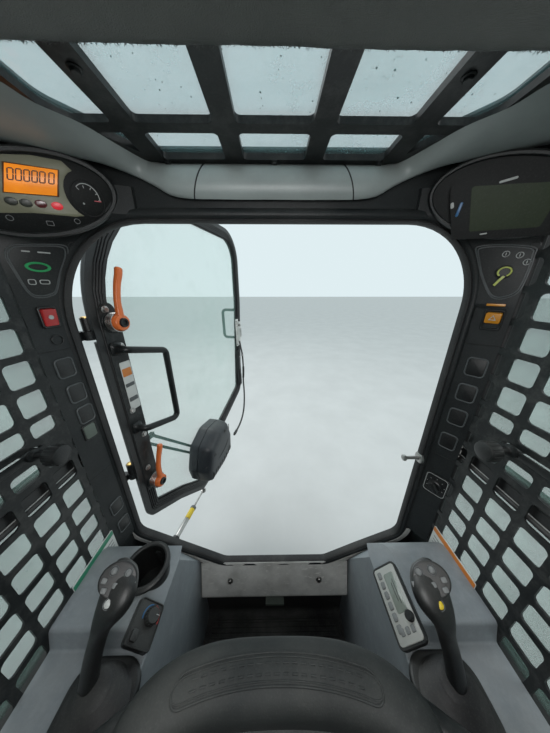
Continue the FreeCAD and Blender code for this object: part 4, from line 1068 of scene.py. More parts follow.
class CAB_OT_pillar_switches(PieceOperator):
    """Put the blank switch plates, rockers and lenses on the slanted pillars"""
    bl_idname = "cab.pillar_switches"
    bl_label = "Pillar Switches"

    def build(self, context):
        width = context.scene.cab_detail.plate_width
        rims, plates = bmesh.new(), bmesh.new()
        spots = [(LEFT, 0.0331, 1.0679), (LEFT, 0.0375, 1.0082), (LEFT, 0.0400, 0.9536),
                 (LEFT, 0.0335, 0.6638),
                 (LEFT, 0.0360, 0.5923), (RIGHT, -0.0235, 1.0654), (RIGHT, -0.0245, 1.0042),
                 (RIGHT, -0.0255, 0.9409), (RIGHT, -0.0270, 0.8717)]
        for side, x, z in spots:
            place = pillar_place(side) @ Matrix.Translation((x, z, 0))
            height = width * 1.24
            outer, inner = ring_points(width, height, 0.008), ring_points(width - 0.005, height - 0.005,
                                                                          0.006)
            add_frame_ring(rims, place, outer, inner, -0.001, 0.0030, 0.0009)
            add_button(plates, place, inner, -0.001, 0.0018, 0.0008)
        add_object("switch_plate_rims", rims, "mark_dark", "cab")
        add_object("switch_plates", plates, "black_plastic", "cab")
        self.rockers()
        self.lenses()
        self.seams()

    def rocker(self, bm, place, width, height):
        """A rocker whose upper half is pressed in."""
        points = ring_points(width, height, 0.003)
        tilt = Matrix.Rotation(math.radians(7), 4, "X")
        add_button(bm, place @ tilt, points, -0.004, 0.0075, 0.0015)

    def rockers(self):
        left = pillar_place(LEFT) @ Matrix.Translation((0.0349, 1.1706, 0.001))
        right = pillar_place(RIGHT) @ Matrix.Translation((-0.0235, 1.1648, 0.001))
        bm = bmesh.new()
        for place in (left, right):
            add_frame_ring(bm, place, ring_points(0.0290, 0.0400, 0.004), ring_points(0.0235, 0.0320, 0.003),
                           -0.002, 0.0052, 0.001)
        add_frame_ring(bm, left @ Matrix.Translation((0.0025, -0.0446, 0)), oval_points(0.0105, 0.0105, 32),
                       oval_points(0.0085, 0.0085, 32), 0.0, 0.0012, 0.0004)
        add_object("rocker_frames", bm, "black_plastic", "cab")
        bm = bmesh.new()
        self.rocker(bm, left, 0.0230, 0.0315)
        add_object("brake_rocker", bm, "switch_red", "cab")
        bm = bmesh.new()
        self.rocker(bm, right @ Matrix.Translation((0, 0.004, 0)), 0.0225, 0.0200)
        add_object("hazard_rocker", bm, "switch_amber", "cab")
        bm = bmesh.new()
        add_button(bm, left @ Matrix.Translation((0, 0, 0.0075)), oval_points(0.0042, 0.0042, 24), -0.002,
                   0.0012,
                   0.0004)
        add_frame_ring(bm, right @ Matrix.Translation((0, 0.004, 0.0078)),
                       [(-0.0055, -0.0045), (0.0055, -0.0045), (0, 0.0052)],
                       [(-0.0036, -0.0033), (0.0036, -0.0033), (0, 0.0030)], -0.002, 0.0010, 0.0002)
        add_object("rocker_marks", bm, "dial_white", "cab")
        bm = bmesh.new()
        add_button(bm, corner_place(RIGHT, 0.419, 1.1925, 0.0004), ring_points(0.0260, 0.0042, 0.001), 0.0,
                   0.0010,
                   0.0003)
        add_object("hazard_label", bm, "switch_amber", "cab")

    def lenses(self):
        bm = bmesh.new()
        place = pillar_place(LEFT) @ Matrix.Translation((0.0360, 0.9094, 0))
        add_button(bm, place, ring_points(0.0250, 0.0330, 0.004), -0.001, 0.0030, 0.0010)
        add_object("lamp_button", bm, "plate_olive", "cab")
        bm = bmesh.new()
        add_frame_ring(bm, place, ring_points(0.0310, 0.0390, 0.005), ring_points(0.0254, 0.0334, 0.004),
                       -0.001, 0.0026, 0.0008)
        knob = pillar_place(RIGHT) @ Matrix.Translation((-0.0215, 0.7341, 0))
        add_button(bm, knob, ring_points(0.0500, 0.0620, 0.009), -0.001, 0.0030, 0.0010)
        grip = ring_points(0.0110, 0.0300, 0.005)
        add_layers(bm, knob @ Matrix.Rotation(math.radians(35), 4, "Z"),
                   [(oval_points(0.0155, 0.0155, 28), 0.003), (oval_points(0.0150, 0.0150, 28), 0.009),
                    (oval_points(0.0128, 0.0128, 28), 0.011)])
        add_button(bm, knob @ Matrix.Rotation(math.radians(35), 4, "Z"), grip, 0.010, 0.021, 0.0025)
        add_object("blower_knob", bm, "black_plastic", "cab")
        bm = bmesh.new()
        add_frame_ring(bm, knob, ring_points(0.0470, 0.0590, 0.008), ring_points(0.0442, 0.0562, 0.0070),
                       0.0025,
                       0.0034, 0.0002)
        for turn in range(-120, 121, 40):
            spot = knob @ Matrix.Rotation(math.radians(turn), 4, "Z") @ Matrix.Translation((0, 0.0195, 0))
            add_button(bm, spot, ring_points(0.0010, 0.0032, 0.0004), 0.002, 0.0035, 0.0002)
        add_object("blower_marks", bm, "dial_white", "cab")

    def seams(self):
        bm = bmesh.new()
        for side, low, high in ((LEFT, (0.0002, 1.1076), (0.0605, 1.1035)),
                                (RIGHT, (-0.0585, 1.1120), (-0.0002, 1.1150)),
                                (LEFT, (0.0002, 0.7900), (0.0605, 0.7880)),
                                (RIGHT, (-0.0585, 0.8230), (-0.0002, 0.8250))):
            place = pillar_place(side)
            path = [place @ Vector((low[0] + (high[0] - low[0]) * f, low[1] + (high[1] - low[1]) * f, 0.0001))
                    for f in (0, 0.5, 1)]
            add_sweep(bm, path, round_section(0.0009, 6), up=place.col[2][:3])
        add_object("pillar_seams", bm, "black_plastic", "cab")


class CAB_OT_left_pod(PieceOperator):
    """Fit the instrument cluster with its amber display, warning lights and gauge"""
    bl_idname = "cab.left_pod"
    bl_label = "Instrument Cluster"

    def build(self, context):
        place = pod_place(LEFT)
        roll = math.radians(15)
        bm = bmesh.new()
        rim = turned(oval_points(0.1035, 0.0525, 72), roll)
        inner = turned(oval_points(0.0950, 0.0445, 72), roll)
        add_layers(bm, place, [(rim, -0.012), (rim, 0.002), (grown(rim, -0.0025), 0.0055),
                               (grown(inner, 0.0015), 0.0055), (inner, 0.0035), (inner, 0.0004)],
                   cap_first=False, cap_last=False)
        add_object("cluster_rim", bm, "dark_plastic", "cab")
        bm = bmesh.new()
        add_button(bm, place, inner, -0.001, 0.0008, 0.0002)
        add_object("cluster_base", bm, "gauge_black", "cab")
        self.face(place)
        self.display(place)
        self.lights(place)
        self.gauge(place)
        self.lower_strip(place)

    def face(self, place):
        """The pale face plate, whose right edge curves round the gauge."""
        points = [(-0.0860, -0.0180), (-0.0800, 0.0060), (-0.0550, 0.0270), (-0.0245, 0.0385),
                  (0.0080, 0.0455),
                  (0.0400, 0.0470)]
        for k in range(11):
            a = math.radians(112 + 136 * k / 10)
            points.append((0.0590 + 0.0260 * math.cos(a), 0.0103 + 0.0300 * math.sin(a)))
        points += [(0.0380, -0.0200), (-0.0100, -0.0225), (-0.0600, -0.0300)]
        bm = bmesh.new()
        add_button(bm, place, points[::-1], 0.0004, 0.0018, 0.0004)
        add_object("cluster_face", bm, "cluster_face", "cab")

    def display(self, place):
        corners = [(-0.0323, -0.0019), (0.0232, 0.0037), (0.0330, 0.0351), (-0.0205, 0.0309)]
        frame_corners = grown_polygon(corners, 0.0016)
        bm = bmesh.new()
        add_button(bm, place, frame_corners, 0.0010, 0.0026, 0.0003)
        add_object("display_frame", bm, "display_ink", "cab")
        bm = bmesh.new()
        add_button(bm, place, corners, 0.0012, 0.0031, 0.0002)
        add_object("display_amber", bm, "amber_display", "cab")
        self.digits(place)

    def digits(self, place):
        """Seven-segment figures that read 00000.0, and lean with the display."""
        bm = bmesh.new()
        bars = {"a": (0, 1, 1, 1), "b": (1, 0.5, 1, 1), "c": (1, 0, 1, 0.5), "d": (0, 0, 1, 0),
                "e": (0, 0, 0, 0.5), "f": (0, 0.5, 0, 1)}
        across, up = Vector((0.0555, 0.0050)), Vector((0.0105, 0.0322))
        start = Vector((-0.0323, -0.0019)) + across * 0.07 + up * 0.46
        for i in range(6):
            corner = start + across * (0.145 * i + (0.03 if i == 5 else 0))
            for u0, v0, u1, v1 in bars.values():
                wide, tall = across * 0.100, up * 0.40
                a = corner + wide * u0 + tall * v0
                b = corner + wide * u1 + tall * v1
                along = (b - a).normalized()
                cross = Vector((-along.y, along.x)) * 0.00070
                a, b = a + along * 0.0003, b - along * 0.0003
                ring = [a - cross, b - cross, b + cross, a + cross]
                add_layers(bm, place, [([p[:] for p in ring], 0.0029), ([p[:] for p in ring], 0.0034)])
        add_object("display_digits", bm, "display_ink", "cab")

    def lights(self, place):
        for name, x, y, finish_name in (("first", -0.0293, -0.0118, "dull_light"),
                                        ("second", -0.0145, -0.0113, "dull_light"),
                                        ("third", 0.0014, -0.0097, "dull_red"),
                                        ("fourth", 0.0193, -0.0092, "red_light")):
            bm = bmesh.new()
            spot = place @ Matrix.Translation((x, y, 0))
            add_button(bm, spot, turned(oval_points(0.0068, 0.0050, 28), 0.12), 0.001, 0.0028, 0.0006)
            add_object("warning_light_" + name, bm, finish_name, "cab")
        bm = bmesh.new()
        spot = place @ Matrix.Translation((-0.0560, 0.0040, 0))
        add_button(bm, spot, oval_points(0.0150, 0.0180, 32), 0.001, 0.0026, 0.0006)
        add_object("fuel_window", bm, "dull_light", "cab")

    def gauge(self, place):
        centre = place @ Matrix.Translation((0.0600, 0.0070, 0.0010))
        bm = bmesh.new()
        add_frame_ring(bm, centre, oval_points(0.0215, 0.0245, 56), oval_points(0.0195, 0.0225, 56), 0.0,
                       0.0012,
                       0.0004)
        add_object("gauge_ring", bm, "gauge_black", "cab")
        bm = bmesh.new()
        arc = [centre @ Vector((0.0150 * math.cos(math.radians(a)),
                                0.0175 * math.sin(math.radians(a)) + 0.001, 0.0004))
               for a in range(-5, 141, 6)]
        add_sweep(bm, arc, [(-0.0005, 0), (0.0005, 0), (0.0005, 0.0005), (-0.0005, 0.0005)],
                  up=place.col[2][:3])
        for a in (0, 33, 66, 99, 132):
            turn = Matrix.Rotation(math.radians(a - 90), 4, "Z")
            add_button(bm, centre @ turn @ Matrix.Translation((0, 0.0145, 0)),
                       ring_points(0.0009, 0.0034, 0.0003),
                       0.0, 0.0009, 0.0002)
        add_lathe(bm, centre @ Matrix.Translation((-0.0070, -0.0075, 0)),
                  [(0.0013, 0), (0.0011, 0.0016), (0, 0.0018)], 16)
        add_object("gauge_scale", bm, "dial_white", "cab")
        bm = bmesh.new()
        add_button(bm, centre @ Matrix.Translation((0.0120, -0.0015, 0)) @ Matrix.Rotation(0.05, 4, "Z"),
                   ring_points(0.0090, 0.0011, 0.0004), 0.0008, 0.0020, 0.0003)
        add_object("gauge_needle", bm, "needle_red", "cab")

    def lower_strip(self, place):
        bm = bmesh.new()
        for x, y, kind in ((-0.0382, -0.0327, 0), (0.0040, -0.0336, 1), (0.0380, -0.0260, 0)):
            spot = place @ Matrix.Translation((x, y, 0.0008))
            if kind:
                add_frame_ring(bm, spot, ring_points(0.0085, 0.0062, 0.001),
                               ring_points(0.0071, 0.0048, 0.0006),
                               0.0, 0.0007, 0.0001)
            else:
                add_frame_ring(bm, spot, oval_points(0.0040, 0.0036, 20), oval_points(0.0033, 0.0029, 20),
                               0.0,
                               0.0007, 0.0001)
        add_object("cluster_keys", bm, "mark_grey", "cab")


class CAB_OT_right_pod(PieceOperator):
    """Fit the screen unit with its bezel, buttons and lobe"""
    bl_idname = "cab.right_pod"
    bl_label = "Screen Unit"

    def build(self, context):
        place = pod_place(RIGHT)
        roll = math.radians(-15)
        bm = bmesh.new()
        rim = turned(oval_points(0.1035, 0.0525, 72), roll)
        inner = turned(oval_points(0.0965, 0.0455, 72), roll)
        add_layers(bm, place, [(rim, -0.012), (rim, 0.002), (grown(rim, -0.0025), 0.0050),
                               (grown(inner, 0.0015), 0.0050), (inner, 0.0030), (inner, -0.0040)],
                   cap_first=False, cap_last=False)
        add_object("screen_rim", bm, "dark_plastic", "cab")
        bezel = rounded([(-0.0715, 0.0300), (-0.0520, -0.0455), (0.0740, -0.0520), (0.0960, -0.0300),
                         (0.0900, 0.0080), (0.0300, 0.0220)][::-1], 0.008)
        bm = bmesh.new()
        add_layers(bm, place, [(bezel, -0.012), (bezel, 0.0070), (grown(bezel, -0.0014), 0.0086),
                               (grown(bezel, -0.0030), 0.0090)])
        add_object("screen_bezel", bm, "gauge_black", "cab")
        glass = rounded([(-0.0460, 0.0215), (-0.0330, -0.0385), (0.0470, -0.0420), (0.0540, 0.0080)][::-1],
                        0.003)
        bm = bmesh.new()
        add_button(bm, place, glass, 0.0085, 0.0098, 0.0003)
        add_object("screen_glass", bm, "green_screen", "cab")
        bm = bmesh.new()
        for x, y, lean in ((-0.0545, -0.0060, -0.15), (0.0640, -0.0110, -0.25)):
            spot = place @ Matrix.Translation((x, y, 0)) @ Matrix.Rotation(lean, 4, "Z")
            add_button(bm, spot, ring_points(0.0040, 0.0190, 0.0018), 0.0080, 0.0104, 0.0006)
        add_object("screen_buttons", bm, "button_blue", "cab")
        bm = bmesh.new()
        for x, y, width, height, lean in ((-0.0650, 0.0010, 0.0045, 0.0085, 0.3),
                                          (-0.0200, 0.0262, 0.0, 0.0, 0),
                                          (-0.0060, 0.0215, 0.0190, 0.0030, 0.12),
                                          (-0.0140, -0.0440, 0.0090, 0.0020, 0.05)):
            if width:
                spot = place @ Matrix.Translation((x, y, 0)) @ Matrix.Rotation(lean, 4, "Z")
                add_button(bm, spot, ring_points(width, height, min(width, height) * 0.45), 0.0080, 0.0099,
                           0.0003)
        add_object("screen_marks", bm, "dial_white", "cab")
        bm = bmesh.new()
        tab = [(0.0660, -0.0300), (0.0860, -0.0260), (0.0880, 0.0000), (0.0800, -0.0010)]
        add_button(bm, place, tab, 0.0080, 0.0105, 0.0004)
        add_object("screen_tab", bm, "button_pale", "cab")


class CAB_OT_lap_pad(PieceOperator):
    """Shape the crowned crescent pad of the lap bar, with its raised outline"""
    bl_idname = "cab.lap_pad"
    bl_label = "Lap Pad"

    SPINE = [(-0.176, -0.161), (-0.158, -0.181), (-0.125, -0.201), (-0.075, -0.2125), (0.0, -0.2155),
             (0.075, -0.2125), (0.125, -0.201), (0.158, -0.181), (0.176, -0.161)]
    WIDTHS = (0.40, 0.82, 0.95, 1.0, 1.0, 1.0, 0.95, 0.82, 0.40)

    def build(self, context):
        crown = context.scene.cab_detail.pad_crown
        spine = smooth_path([(x, y, 0.742) for x, y in self.SPINE], 8)
        widths = smooth_path([(w, 0, 0) for w in self.WIDTHS], 8)
        rows = []
        steps = 40
        for i, point in enumerate(spine):
            before, after = spine[max(0, i - 1)], spine[min(len(spine) - 1, i + 1)]
            along = (after - before).normalized()
            across = Vector((-along.y, along.x, 0))
            wide = 0.0325 * widths[i].x
            tall = 0.0270 * min(1.0, 0.45 + 0.6 * widths[i].x)
            row = []
            for k in range(steps):
                a = 2 * math.pi * k / steps
                c, s = math.cos(a), math.sin(a)
                u = math.copysign(abs(c) ** 0.62, c) * wide
                v = math.copysign(abs(s) ** 0.55, s) * tall
                if s > 0:
                    v += crown * 0.6 * max(0.0, s) * (1 - (u / 0.034) ** 2)
                row.append(point + across * u + Vector((0, 0, v)))
            rows.append(row)
        bm = bmesh.new()
        add_loft(bm, rows, closed=True)
        bmesh.ops.recalc_face_normals(bm, faces=bm.faces[:])
        tree = BVHTree.FromBMesh(bm)
        piece = add_object("lap_pad", bm, "pad_rubber", "lap_bar", 80)
        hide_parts("lap_bar_pad")
        path = []
        for u in range(61):
            path.append((-0.112 + 0.224 * u / 60, 0.0125))
        for k in range(1, 10):
            a = math.radians(90 - 18 * k)
            path.append((0.112 + 0.0125 * math.cos(a), 0.0125 * math.sin(a)))
        path += [(-x, -y) for x, y in path]
        bm = bmesh.new()
        for grow in (0.0, -0.0034):
            outline = [self.on_pad(tree, x, y * (1 + grow / 0.0125)) for x, y in path]
            add_sweep(bm, outline, round_section(0.0009 if grow else 0.0013, 8), closed=True)
        for x in range(-9, 10):
            for y in (-0.0042, 0.0042):
                bar = [self.on_pad(tree, x * 0.0112 + d, y) for d in (-0.0036, 0.0, 0.0036)]
                add_sweep(bm, bar, round_section(0.0011, 6))
        add_object("lap_pad_outline", bm, "pad_rubber", "lap_bar", 60)

    def on_pad(self, tree, x, y):
        """A point on the pad's top: x along its length, y across its middle line."""
        arc = -0.2155 + 0.95 * x * x + 12.0 * x ** 4
        place, _, _, _ = tree.ray_cast(Vector((x, arc + y, 0.9)), Vector((0, 0, -1)))
        return place if place else Vector((x, arc + y, 0.77))


ROUND_BUTTONS = {LEFT: ((-0.0101, 0.0096), (0.0127, 0.0101), (0.0034, -0.0263)),
                 RIGHT: ((0.0059, 0.0109), (-0.0155, 0.0117), (-0.0072, -0.0273))}
RECT_BUTTONS = {LEFT: ((-0.0175, -0.0033), (-0.0118, -0.014), (0.0021, -0.0067), (0.0188, -0.0104),
                       (0.0262, -0.0014)), RIGHT: ((0.0163, -0.0028), (0.0118, -0.0136), (-0.0021, -0.0059),
                                                   (-0.0189, -0.0093), (-0.0299, -0.0007))}


class CAB_OT_joysticks(PieceOperator):
    """Sculpt the joysticks' grips, their buttons and their pleated boots"""
    bl_idname = "cab.joysticks"
    bl_label = "Joysticks"

    STATIONS = [
        # x, y, z, half width, half thickness
        (0.3115, -0.2400, 0.585, 0.0140, 0.0140), (0.3090, -0.2470, 0.612, 0.0128, 0.0128),
        (0.3015, -0.2610, 0.652, 0.0122, 0.0122), (0.2895, -0.2730, 0.690, 0.0125, 0.0125),
        (0.2785, -0.2780, 0.714, 0.0165, 0.0150), (0.2695, -0.2850, 0.730, 0.0235, 0.0170),
        (0.2645, -0.2975, 0.742, 0.0300, 0.0175), (0.2640, -0.3135, 0.749, 0.0325, 0.0160),
        (0.2655, -0.3290, 0.748, 0.0290, 0.0130), (0.2680, -0.3400, 0.744, 0.0190, 0.0070),
    ]

    def build(self, context):
        for side, word in SIDES:
            grip = self.grip(side, word)
            self.boot(side, word, grip)
            self.buttons(side, word)

    def spine(self, side):
        points = []
        for x, y, z, _, _ in self.STATIONS:
            nudge = 0.004 + 0.007 * max(0.0, min(1.0, (0.735 - z) / 0.04))
            points.append(Vector((side * (x - (nudge if side == RIGHT else 0.0)),
                                  y + (0.006 if side == RIGHT else 0), z)))
        return points

    def grip(self, side, word):
        points = smooth_path(self.spine(side), 3)
        sizes = smooth_path([(w, t, 0) for _, _, _, w, t in self.STATIONS], 3)
        lean = (points[-1] - points[0])
        lean.z = 0
        lean.normalize()
        across = Vector((-lean.y, lean.x, 0))
        rows = []
        for i, point in enumerate(points):
            along = (points[min(len(points) - 1, i + 1)] - points[max(0, i - 1)]).normalized()
            thick = along.cross(across).normalized()
            row = []
            for k in range(24):
                a = 2 * math.pi * k / 24
                c, s = math.cos(a), math.sin(a)
                row.append(point + across * (math.copysign(abs(c) ** 0.8, c) * sizes[i].x)
                           + thick * (math.copysign(abs(s) ** 0.8, s) * sizes[i].y))
            rows.append(row)
        bm = bmesh.new()
        add_loft(bm, rows, closed=True)
        piece = add_object("grip_" + word, bm, "black_plastic", "cab", 70)
        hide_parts("joystick_" + word)
        return piece

    def boot(self, side, word, grip):
        bm = bmesh.new()
        layers = []
        for k in range(13):
            f = k / 12
            reach = 1.0 - 0.62 * f
            fold = 0.0035 * (1 if k % 2 else -1) * (1 if 0 < k < 12 else 0)
            centre = (side * (0.303 - 0.006 * f), -0.232 - 0.010 * f)
            points = oval_points(0.053 * reach + fold, 0.048 * reach + fold, 40)
            layers.append((shift(points, *centre), 0.562 + 0.052 * f ** 0.9))
        add_layers(bm, Matrix.Identity(4), layers)
        add_object("boot_" + word, bm, "seal_rubber", "cab", 50)
        bm = bmesh.new()
        outer = ring_points(0.122, 0.112, 0.040, 10)
        place = Matrix.Translation((side * 0.303, -0.232, 0.560))
        add_layers(bm, place, [(outer, -0.004), (outer, 0.003), (grown(outer, -0.0015), 0.005),
                               (grown(outer, -0.005), 0.006)])
        add_object("boot_plate_" + word, bm, "black_plastic", "cab")

    def head_place(self, side, x=0.0, y=0.0):
        """A frame on the head's upper face, which looks at the operator: y runs forwards."""
        origin = (0.2660, -0.3080, 0.7640) if side == LEFT else (-0.2620, -0.3020, 0.7640)
        return face_place(origin, (-side * 0.30, 0.42, 0.86), (0, -1, 0)) @ Matrix.Translation((x, y, 0))

    def buttons(self, side, word):
        bm = bmesh.new()
        face = oval_points(0.0285, 0.0235, 40)
        add_layers(bm, self.head_place(side, 0.001 * side, 0.001),
                   [(face, -0.0140), (face, -0.0010), (grown(face, -0.0012), 0.0002),
                                                   (grown(face, -0.0030), 0.0004)])
        add_object("grip_face_" + word, bm, "black_plastic", "cab")
        spots = ROUND_BUTTONS[side]
        rims, pale, tinted = bmesh.new(), bmesh.new(), bmesh.new()
        for x, y in spots[:2]:
            place = self.head_place(side, x, y)
            add_frame_ring(rims, place, oval_points(0.0068, 0.0068, 28), oval_points(0.0056, 0.0056, 28),
                           0.0, 0.0016, 0.0004)
            add_lathe(pale, place, [(0.0050, -0.002), (0.0048, 0.0024), (0.0038, 0.0034), (0, 0.0038)], 20)
        place = self.head_place(side, *spots[2])
        add_frame_ring(rims, place, oval_points(0.0072, 0.0072, 28), oval_points(0.0058, 0.0058, 28), -0.008,
                       0.0014, 0.0004)
        add_lathe(tinted, place, [(0.0053, -0.008), (0.0051, 0.0022), (0.0040, 0.0032), (0, 0.0036)], 20)
        add_object("grip_rims_" + word, rims, "mark_dark", "cab")
        for x, y in RECT_BUTTONS[side]:
            add_button(pale, self.head_place(side, x, y), ring_points(0.0082, 0.0070, 0.0018), -0.002,
                       0.0026, 0.0008)
        add_object("grip_buttons_" + word, pale, "mark_grey", "cab")
        add_object("grip_rocker_" + word, tinted, "button_pale" if side == LEFT else "button_yellow", "cab")


def edge_reach(x):
    """How far the felt hangs past the lining's front edge, more towards the operator's right."""
    return 0.0035 + 0.005 * max(0.0, min(1.0, 0.5 - x / 0.8))


class CAB_OT_felt(PieceOperator):
    """Line the roof behind the window with felt that frays at its front edge"""
    bl_idname = "cab.felt"
    bl_label = "Roof Felt"

    def build(self, context):
        low, high = (Vector(corner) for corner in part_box("headliner"))
        front, rear, under, top = low.y, high.y, low.z, high.z
        step_z = 1.414
        section = [(rear, under)]
        count = 46
        for k in range(1, count):
            section.append((rear + (front + 0.014 - rear) * (k / (count - 1)) ** 0.6, under))
        for k in range(1, 7):
            a = math.radians(15 * k)
            section.append((front + 0.014 - 0.014 * math.sin(a), under + 0.014 - 0.014 * math.cos(a)))
        section += [(front, 1.404), (front, step_z), (-0.293, step_z), (-0.293, top), (rear, top)]
        rows = []
        for i in range(121):
            x = low.x + 0.001 + (high.x - low.x - 0.002) * i / 120
            row = []
            for y, z in section:
                wave = 0.0006 * noise.noise(Vector((x * 14, y * 14, z * 20))) + 0.0005 * noise.noise(
                    Vector((x * 70, y * 70, z * 60)))
                room = min(1.0, max(0.0, (rear - y) * 40))
                y -= edge_reach(x) * min(1.0,
                                         max(0.0, (front + 0.08 - y) / 0.06)) * (1.0 if z < step_z - 0.001
                                                                                 else 0.0)
                inside = 1.0 if z < step_z - 0.001 else 0.0
                sag = 0.0015 * math.sin(math.pi * i / 120)
                row.append(Vector((x, y + wave * inside * room,
                                   max(under, z + (wave + 0.0015 - sag) * inside * room))))
            rows.append(row)
        bm = bmesh.new()
        add_loft(bm, rows, closed=True)
        piece = add_object("roof_felt", bm, "felt", "cab", 60)
        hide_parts("headliner")
        self.fray(context, low, high, under)

    def fray(self, context, low, high, under):
        """Loose fibres along the front edge."""
        length = context.scene.cab_detail.fibre_length
        bm = bmesh.new()
        rng = random.Random(11)
        for _ in range(1500):
            x = rng.uniform(low.x + 0.004, high.x - 0.004)
            f = rng.random()
            start = Vector((x, low.y - edge_reach(x) + 0.0005 + 0.010 * f,
                            under + 0.0105 * (1 - f) ** 2 + 0.0008))
            way = Vector((rng.uniform(-0.9, 0.9), rng.uniform(-1.0, 0.1), rng.uniform(-0.5, 0.5)))
            reach = way.normalized() * length * rng.uniform(0.3, 1.0)
            bend = Vector((rng.uniform(-1, 1), rng.uniform(-1, 0), rng.uniform(-0.3, 0.3))) * length * 0.25
            reach.z = max(reach.z, under - start.z)
            bend.z = 0
            add_sweep(bm, [start, start + reach * 0.55 + bend, start + reach], round_section(0.00024, 3),
                      up=(0.1, 0.2, 1), scale=(1.0, 0.8, 0.25))
        add_object("felt_fibres", bm, "felt", "cab", 180)


class CAB_OT_door_cable(PieceOperator):
    """Run the cable from the latch past the lock bar to the wiper motor's cover"""
    bl_idname = "cab.door_cable"
    bl_label = "Door Cable"

    ROUTE = [(0.786, 0.013, 0.935), (0.785, 0.018, 0.900), (0.781, 0.028, 0.862), (0.779, 0.031, 0.810),
             (0.779, 0.031, 0.745), (0.775, 0.027, 0.688), (0.756, 0.038, 0.634), (0.700, 0.060, 0.592),
             (0.630, 0.082, 0.560), (0.555, 0.096, 0.542), (0.490, 0.102, 0.538), (0.443, 0.104, 0.538)]

    def build(self, context):
        place = door_place()
        points = [place @ Vector((-t, off, z)) for t, off, z in self.ROUTE]
        curve = bpy.data.curves.new("cable_line", "CURVE")
        curve.dimensions = "3D"
        curve.bevel_depth = 0.0045
        curve.bevel_resolution = 4
        curve.use_fill_caps = True
        curve.resolution_u = 12
        line = curve.splines.new("NURBS")
        line.points.add(len(points) - 1)
        for knot, point in zip(line.points, points):
            knot.co = (*point, 1.0)
        line.order_u = 3
        line.use_endpoint_u = True
        cable = bpy.data.objects.new("cable", curve)
        context.scene.collection.objects.link(cable)
        curve.materials.append(finish("seal_rubber"))
        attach(cable, "door")
        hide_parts("door_cable")
        bare = curve.copy()
        bare.bevel_depth = 0.0
        bare.use_fill_caps = False
        sample = bpy.data.objects.new("sample", bare)
        context.scene.collection.objects.link(sample)
        mesh = bpy.data.meshes.new_from_object(sample)
        line_points = [v.co.copy() for v in mesh.vertices]
        bpy.data.objects.remove(sample)
        bpy.data.meshes.remove(mesh)
        runs = [(b - a).length for a, b in zip(line_points, line_points[1:])]
        total = sum(runs)
        clip, sleeve = bmesh.new(), bmesh.new()
        self.along(sleeve, line_points, runs, 0.160, 0.235, 0.0062)
        self.along(sleeve, line_points, runs, total - 0.034, total - 0.004, 0.0068)
        self.along(clip, line_points, runs, 0.082, 0.094, 0.0066)
        clip_piece = add_object("cable_clip", clip, "steel", "door")
        sleeve_piece = add_object("cable_sleeves", sleeve, "black_plastic", "door")

    def along(self, bm, points, runs, start, end, radius):
        """A sleeve over the part of the cable between two distances from its start."""
        walked, path = 0.0, []
        for point, following, run in zip(points, points[1:], runs):
            if start <= walked <= end:
                path.append(point)
            elif walked < start < walked + run:
                path.append(point.lerp(following, (start - walked) / run))
            if walked < end < walked + run:
                path.append(point.lerp(following, (end - walked) / run))
            walked += run
        scale = [1.0] * len(path)
        scale[0] = scale[-1] = 0.82
        add_sweep(bm, path, round_section(radius, 16), up=(0.3, 0.2, 1), scale=scale)


class CAB_OT_door_seal(PieceOperator):
    """Ridge the seal on the door's band and edge its glass"""
    bl_idname = "cab.door_seal_ridges"
    bl_label = "Door Seal Ridges"

    def build(self, context):
        bm = bmesh.new()
        for inset, radius, off in ((0.0175, 0.0022, 0.0004), (0.0235, 0.0026, 0.0006),
                                   (0.0300, 0.0026, 0.0006),
                                   (0.0365, 0.0022, 0.0004)):
            path = [door_point(t, off, z) for t, z in rounded_loop(DOOR_CORNERS, inset, 8)]
            add_sweep(bm, path, round_section(radius, 8), up=door_normal(), closed=True)
        add_object("door_ridges", bm, "seal_rubber", "door", 60)
        bm = bmesh.new()
        path = [door_point(t, -0.0085, z) for t, z in rounded_loop(DOOR_CORNERS, 0.0435, 10)]
        add_sweep(bm, path, [(-0.0040, -0.0025), (0.0040, -0.0025), (0.0040, 0.0015), (0.0015, 0.0040),
                             (-0.0040, 0.0040)], up=door_normal(), closed=True)
        add_object("door_glass_gasket", bm, "seal_rubber", "door", 60)


